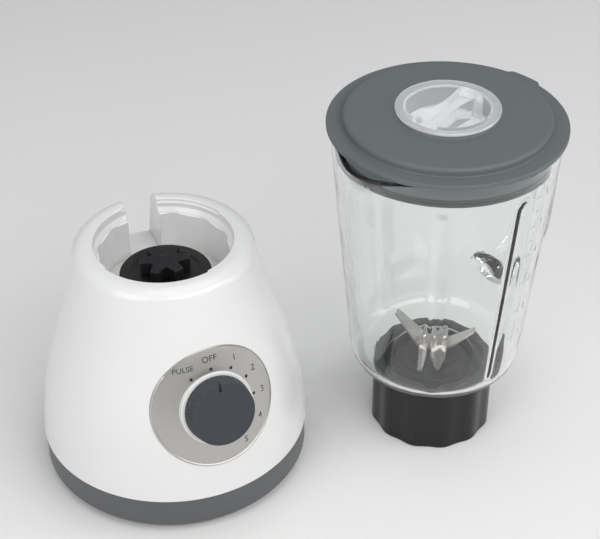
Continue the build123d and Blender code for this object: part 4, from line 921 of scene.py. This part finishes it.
def make_glass(finish):
    """The glass jug: body with inner ribs and spout, joined with its handle."""
    size = settings(JugSizes)
    turns = set(np.linspace(0, FULL_TURN, 145)[:-1].round(5))
    for number in range(8):
        for off in np.linspace(-0.14, 0.14, 19):
            turns.add(round((size.rib_turn + number * math.pi / 4 + off) % FULL_TURN, 5))
    turns = sorted(turns)
    rows = []
    for radius, height, within in glass_outline():
        row = []
        for azimuth in turns:
            push = spout_push(azimuth, height)
            far = radius + (push - rib_height(azimuth, height) if within else push)
            row.append(polar(azimuth + size.turn, far, height))
        rows.append(row)
    body = mesh_from("glass_body", quilt(rows, close_rows=True))

    grip = wall_radius(size.handle_high) + size.handle_reach
    high_root = wall_radius(size.handle_high) - 0.55 * size.glass
    low_root = wall_radius(size.handle_low) - 0.55 * size.glass
    path = rounded([
        (high_root, size.handle_high - 0.002, 0), (high_root + 0.004, size.handle_high - 0.0012, 0),
        (high_root + 0.010, size.handle_high, 0), (grip, size.handle_high, size.handle_bend),
        (grip - 0.4 * size.handle_slant, 0.5 * (size.handle_high + size.handle_low), 0),
        (grip - size.handle_slant, size.handle_low, size.handle_bend),
        (low_root + 0.010, size.handle_low, 0), (low_root + 0.004, size.handle_low + 0.0006, 0),
        (low_root, size.handle_low + 0.001, 0),
    ], 12)
    rows = []
    run = 0.0
    total = sum(math.dist(a, b) for a, b in zip(path, path[1:]))
    for k, (out, up) in enumerate(path):
        before, after = path[max(k - 1, 0)], path[min(k + 1, len(path) - 1)]
        along = (Vector(after) - Vector(before)).normalized()
        run += math.dist(path[k - 1], path[k]) if k else 0.0
        ends = min(run, total - run)
        flare = 1 + 0.7 * max(0.0, 1 - ends / 0.016) ** 2
        row = []
        for step in range(40):
            t = FULL_TURN * step / 40
            side = flare * size.handle_width / 2 * math.cos(t)
            lift = flare * size.handle_thick / 2 * math.sin(t)
            spot = Vector((out - along.y * lift, up + along.x * lift))
            place = polar(size.turn, spot.x, spot.y)
            row.append(place + Vector((-math.sin(size.turn), math.cos(size.turn), 0)) * side)
        rows.append(row)
    middle = [sum(row, Vector()) / len(row) for row in (rows[0], rows[-1])]
    rows = [[middle[0]], *rows, [middle[1]]]
    handle = mesh_from("glass_handle", quilt(rows))
    mesh = combine(body, handle, "UNION")
    mesh.set_sharp_from_angle(angle=GLASS_SHARP)
    return piece("jug_glass", mesh, finish["jug_glass"], "jug", "jug_glass", "glass_jug")


def make_scale(finish):
    """The printed measure on the jug: figures and long and short marks."""
    size = settings(JugSizes)
    marks = []
    half = 0.0002  # half the width of a mark's line
    for number in range(6):
        up = size.scale_first + number * size.scale_step
        marks.append((lettering(str(number + 1), 0.0042), 0.0062, up))
        for part, wide in ((0.0, 0.0052), (0.5, 0.0030)):
            corners = ((-wide / 2, -half), (wide / 2, -half), (wide / 2, half), (-wide / 2, half))
            bar, _ = prism(corners, -PRINT_THICK, PRINT_THICK, as_drawn)
            marks.append((mesh_from("tick", bar), -0.0005 - wide / 2, up + part * size.scale_step))

    def on_wall(across, up, out):
        far = wall_radius(up) + 2 * PRINT_GAP + out
        return polar(size.scale_turn + across / far, far, up)

    print_marks("jug_scale", marks, on_wall, finish["scale_ink"], "jug", "jug_glass")


def make_collar(finish):
    """The black screw collar with its lobed skirt."""
    size = settings(JugSizes)
    top = COLLAR_HIGH.z
    seat = 0.0305

    def lobed(radius, height, azimuth):
        if radius < 0.037:
            return radius
        along = size.lobes * (azimuth - size.turn - size.rib_turn)
        return radius - size.collar_wave * (1 - math.cos(along)) / 2

    work = lathe(rounded([
        (0.0328, 0, 0.0004), (size.collar, 0, 0.0010), (size.collar, 0.5 * top, 0),
        (size.collar, top, 0.0018), (0.0340, top, 0.0006), (0.0340, seat, 0), (0.0301, seat, 0),
        (0.0301, seat - 0.003, 0), (0.0328, seat - 0.003, 0),
    ]), 288, JUG_AXIS, lobed)
    return piece("collar", mesh_from("collar", work), finish["collar_black"], "jug", "collar_black",
                 "jug_collar")


# ------------------------------------------------------------------ lid and cap
def make_lid(finish):
    """The slate lid: flange with lift tab, raised disc and skirt."""
    size = settings(LidSizes)
    turned = settings(JugSizes).turn
    disc_top = LID_HIGH.z - size.hole_rise
    flange_top = disc_top - size.disc_rise
    under = flange_top - size.flange_thick
    seal_in = (SEAL_HIGH.x - JUG_X) - 0.0031
    lip = size.hole + size.wall

    def tabbed(radius, height, azimuth):
        if radius < size.flange - 0.001 or height > flange_top + 1e-5:
            return radius
        across = abs(math.sin(azimuth - turned)) * size.flange
        if math.cos(azimuth - turned) < 0 or across > size.tab / 2 + 0.0012:
            return radius
        fade = min(1.0, (size.tab / 2 + 0.0012 - across) / 0.0024)
        return radius + size.tab_reach * fade * fade * (3 - 2 * fade)

    work = lathe(rounded([
        (size.hole, flange_top - 0.006, 0.0003), (size.hole, LID_HIGH.z, 0.0005), (lip, LID_HIGH.z, 0.0006),
        (lip + 0.001, disc_top, 0.0004), (size.disc, disc_top, 0.0026),
        (size.disc + 0.0004, flange_top, 0.0008),
        (size.flange, flange_top, 0.0010), (size.flange, under, 0.0006), (0.0665, under, 0),
        (0.0657, SEAL_HIGH.z, 0), (seal_in, SEAL_HIGH.z, 0), (seal_in, SEAL_LOW.z, 0.0004),
        (seal_in - size.wall, SEAL_LOW.z, 0.0004), (seal_in - size.wall, under, 0.001),
        (size.disc - size.wall, disc_top - size.wall, 0.001), (lip, disc_top - size.wall, 0),
        (lip, flange_top - 0.006, 0.0003),
    ]), 256, JUG_AXIS, tabbed)
    return piece("lid_top", mesh_from("lid_top", work), finish["lid_slate"], "lid", "lid_slate", "lid")


def make_cap(finish):
    """The clear filler cap with two finger pockets beside a waisted bar."""
    size = settings(LidSizes)
    top = CAP_HIGH.z
    seat = top - size.cap_thick
    low = CAP_LOW.z
    body = mesh_from("cap", lathe(rounded([
        (0, low + 0.0016, 0), (size.cap - 0.0016, low + 0.0016, 0), (size.cap - 0.0016, low, 0.0005),
        (size.cap, low, 0.0005), (size.cap, seat, 0.0003), (size.cap_flange, seat, 0.0006),
        (size.cap_flange, top, 0.0009), (0, top, 0),
    ]), 192, JUG_AXIS))
    for side in (1, -1):
        start = math.asin(size.bar / 2 / size.pocket) + 0.03
        outline = [(across, side * up) for across, up in arc(size.pocket, start, math.pi - start, 40)]
        for across in np.linspace(-0.94, 0.94, 13):
            bow = size.waist / 2 + (size.bar - size.waist) / 2 * across ** 2
            outline.append((across * size.pocket * math.cos(start), side * bow))

        def place(across, up, height):
            return JUG_AXIS + Matrix.Rotation(size.bar_turn, 3, "Z") @ Vector((across, up, height))

        cutter, caps = prism(outline, top - size.pocket_depth, top + 0.002, place)
        soften(cutter, caps[0].edges, 0.0022, 4)
        body = combine(body, mesh_from("pocket", cutter), "DIFFERENCE")
    return piece("cap_body", body, finish["cap_clear"], "cap", "cap_clear", "filler_cap")


# ------------------------------------------------------------------ CAD nodes that stay
NODE_FINISH = {
    "cover_grey": ("base_cover",),
    "rubber_black": ("foot_pads", "cord_grommet", "motor_mounts"),
    "screw_steel": ("cover_screws", "stator_screws", "motor_screws", "upper_bearing", "lower_bearing",
                    "motor_shaft", "switch_shaft"),
    "switch_plastic": ("switch_body",),
    "lamination": ("stator_core", "rotor_core"),
    "copper": ("field_coils", "rotor_winding", "commutator"),
    "bracket_alu": ("upper_bracket", "lower_bracket"),
    "brass_part": ("brush_holders",),
    "carbon": ("carbon_brushes",),
    "fan_plastic": ("cooling_fan",),
    "coupling_black": ("driven_coupling", "blade_carrier"),
    "seal_rubber": ("jug_gasket", "shaft_seal", "lid_seal"),
    "blade_steel": ("blade_bush", "blade_shaft", "lower_blade", "upper_blade", "blade_nut"),
}


def dress_nodes(finish):
    """Give every CAD node that stays its finish."""
    for slot, nodes in NODE_FINISH.items():
        for name in nodes:
            for holder in frame["nodes"][name].material_slots:
                holder.material = finish[slot]


# ------------------------------------------------------------------ stage
def make_stage():
    """The pale floor, the soft lamps and the camera."""
    pick = settings(StageSettings)
    finish = Finish("pale floor")
    cloud = finish.noise(3.0, 2.0)
    material = finish.done(finish.surface(
        Base_Color=finish.blend(cloud, opaque(pick.floor, 0.985), opaque(pick.floor, 1.015)),
        Roughness=0.55 + 0.1 * finish.noise(40.0),
        Specular_IOR_Level=0.25,
    ))
    work = quilt([[Vector((x, y, 0)) for x in (-4, 4)] for y in (-4, 4)], close_columns=False)
    mesh = mesh_from("floor", work)
    floor = linked("floor", mesh)
    mesh.materials.append(material)

    low, high = CAD_BOX
    middle = (low + high) / 2
    for name, spot, wide, tall, power in (
        ("softbox_left", (-1.25, -0.55, 0.75), 0.9, 1.3, 8.0),
        ("softbox_right", (1.35, -0.75, 0.65), 0.5, 1.2, 5.0),
        ("softbox_top", (0.1, -0.15, 1.7), 1.6, 1.2, 7.5),
        ("softbox_front", (0.25, -1.15, 1.0), 1.6, 0.7, 9.5),
    ):
        lamp = bpy.data.lights.new(name, "AREA")
        lamp.shape = "RECTANGLE"
        lamp.size = wide
        lamp.size_y = tall
        lamp.energy = power
        holder = linked(name, lamp)
        holder.location = middle + Vector(spot)
        holder.rotation_euler = (-Vector(spot)).to_track_quat("-Z", "Y").to_euler()

    world = bpy.data.worlds.new("room")
    world.use_nodes = True
    shade = world.node_tree.nodes["Background"]
    shade.inputs["Color"].default_value = (0.93, 0.95, 1.0, 1.0)
    shade.inputs["Strength"].default_value = pick.world
    bpy.context.scene.world = world
    bpy.context.scene.view_settings.view_transform = "Standard"

    camera = bpy.data.cameras.new("camera")
    camera.lens = pick.focal
    camera.sensor_width = 36
    holder = linked("camera", camera)
    ahead = Vector((math.sin(pick.turn) * math.cos(pick.elevation),
                    math.cos(pick.turn) * math.cos(pick.elevation), -math.sin(pick.elevation)))
    right = Vector((math.cos(pick.turn), -math.sin(pick.turn), 0))
    down = ahead.cross(right)
    across = right * math.cos(pick.roll) + down * math.sin(pick.roll)
    up = right * math.sin(pick.roll) - down * math.cos(pick.roll)
    aim = Vector((0.1002, 0.0152, 0.1000))
    stand = Matrix((across, up, -ahead)).transposed().to_4x4()
    holder.matrix_world = Matrix.Translation(aim - ahead * pick.distance) @ stand
    bpy.context.scene.camera = holder


# ------------------------------------------------------------------ operators
FINISHES = {}


class MakeFinishes(bpy.types.Operator):
    """Make every finish and dress the CAD nodes that stay."""
    bl_idname = "kitchen.make_finishes"
    bl_label = "Finishes"

    def execute(self, context):
        FINISHES.update(all_finishes())
        dress_nodes(FINISHES)
        return {"FINISHED"}


class MakeBase(bpy.types.Operator):
    """Make the housing and the coupling in its socket."""
    bl_idname = "kitchen.make_base"
    bl_label = "Base"

    def execute(self, context):
        make_housing(FINISHES)
        make_coupling(FINISHES)
        return {"FINISHED"}


class MakeDial(bpy.types.Operator):
    """Make the dial plate, its ring and print, and the knob."""
    bl_idname = "kitchen.make_dial"
    bl_label = "Dial"

    def execute(self, context):
        make_plate(FINISHES)
        make_ring(FINISHES)
        make_dial_print(FINISHES)
        make_knob(FINISHES)
        return {"FINISHED"}


class MakeJug(bpy.types.Operator):
    """Make the glass jug, its scale and its collar."""
    bl_idname = "kitchen.make_jug"
    bl_label = "Jug"

    def execute(self, context):
        make_glass(FINISHES)
        make_scale(FINISHES)
        make_collar(FINISHES)
        return {"FINISHED"}


class MakeLid(bpy.types.Operator):
    """Make the lid and the filler cap."""
    bl_idname = "kitchen.make_lid"
    bl_label = "Lid"

    def execute(self, context):
        make_lid(FINISHES)
        make_cap(FINISHES)
        return {"FINISHED"}


class MakeStage(bpy.types.Operator):
    """Make the floor, the lamps and the camera."""
    bl_idname = "kitchen.make_stage"
    bl_label = "Stage"

    def execute(self, context):
        make_stage()
        return {"FINISHED"}


OPERATORS = (MakeFinishes, MakeBase, MakeDial, MakeJug, MakeLid, MakeStage)


class KitchenPanel(bpy.types.Panel):
    """Lists the operators and the settings of the countertop blender."""
    bl_idname = "VIEW3D_PT_kitchen"
    bl_label = "Countertop Blender"
    bl_space_type = "VIEW_3D"
    bl_region_type = "UI"
    bl_category = "Kitchen"

    def draw(self, context):
        for operator in OPERATORS:
            self.layout.operator(operator.bl_idname)
        for group in SETTINGS:
            box = self.layout.box()
            box.label(text=group.__name__)
            for name in group.__annotations__:
                box.prop(settings(group), name)


def register():
    """Register the settings, the operators and the panel."""
    for item in (*SETTINGS, *OPERATORS, KitchenPanel):
        bpy.utils.register_class(item)
    for group in SETTINGS:
        setattr(bpy.types.Scene, group.__name__, bpy.props.PointerProperty(type=group))


def unregister():
    """Take them away again."""
    for group in SETTINGS:
        delattr(bpy.types.Scene, group.__name__)
    for item in reversed((*SETTINGS, *OPERATORS, KitchenPanel)):
        bpy.utils.unregister_class(item)


def main():
    """Register the add-on and make every piece in order."""
    register()
    for operator in OPERATORS:
        group, name = operator.bl_idname.split(".")
        getattr(getattr(bpy.ops, group), name)()


if __name__ == "__main__":
    main()
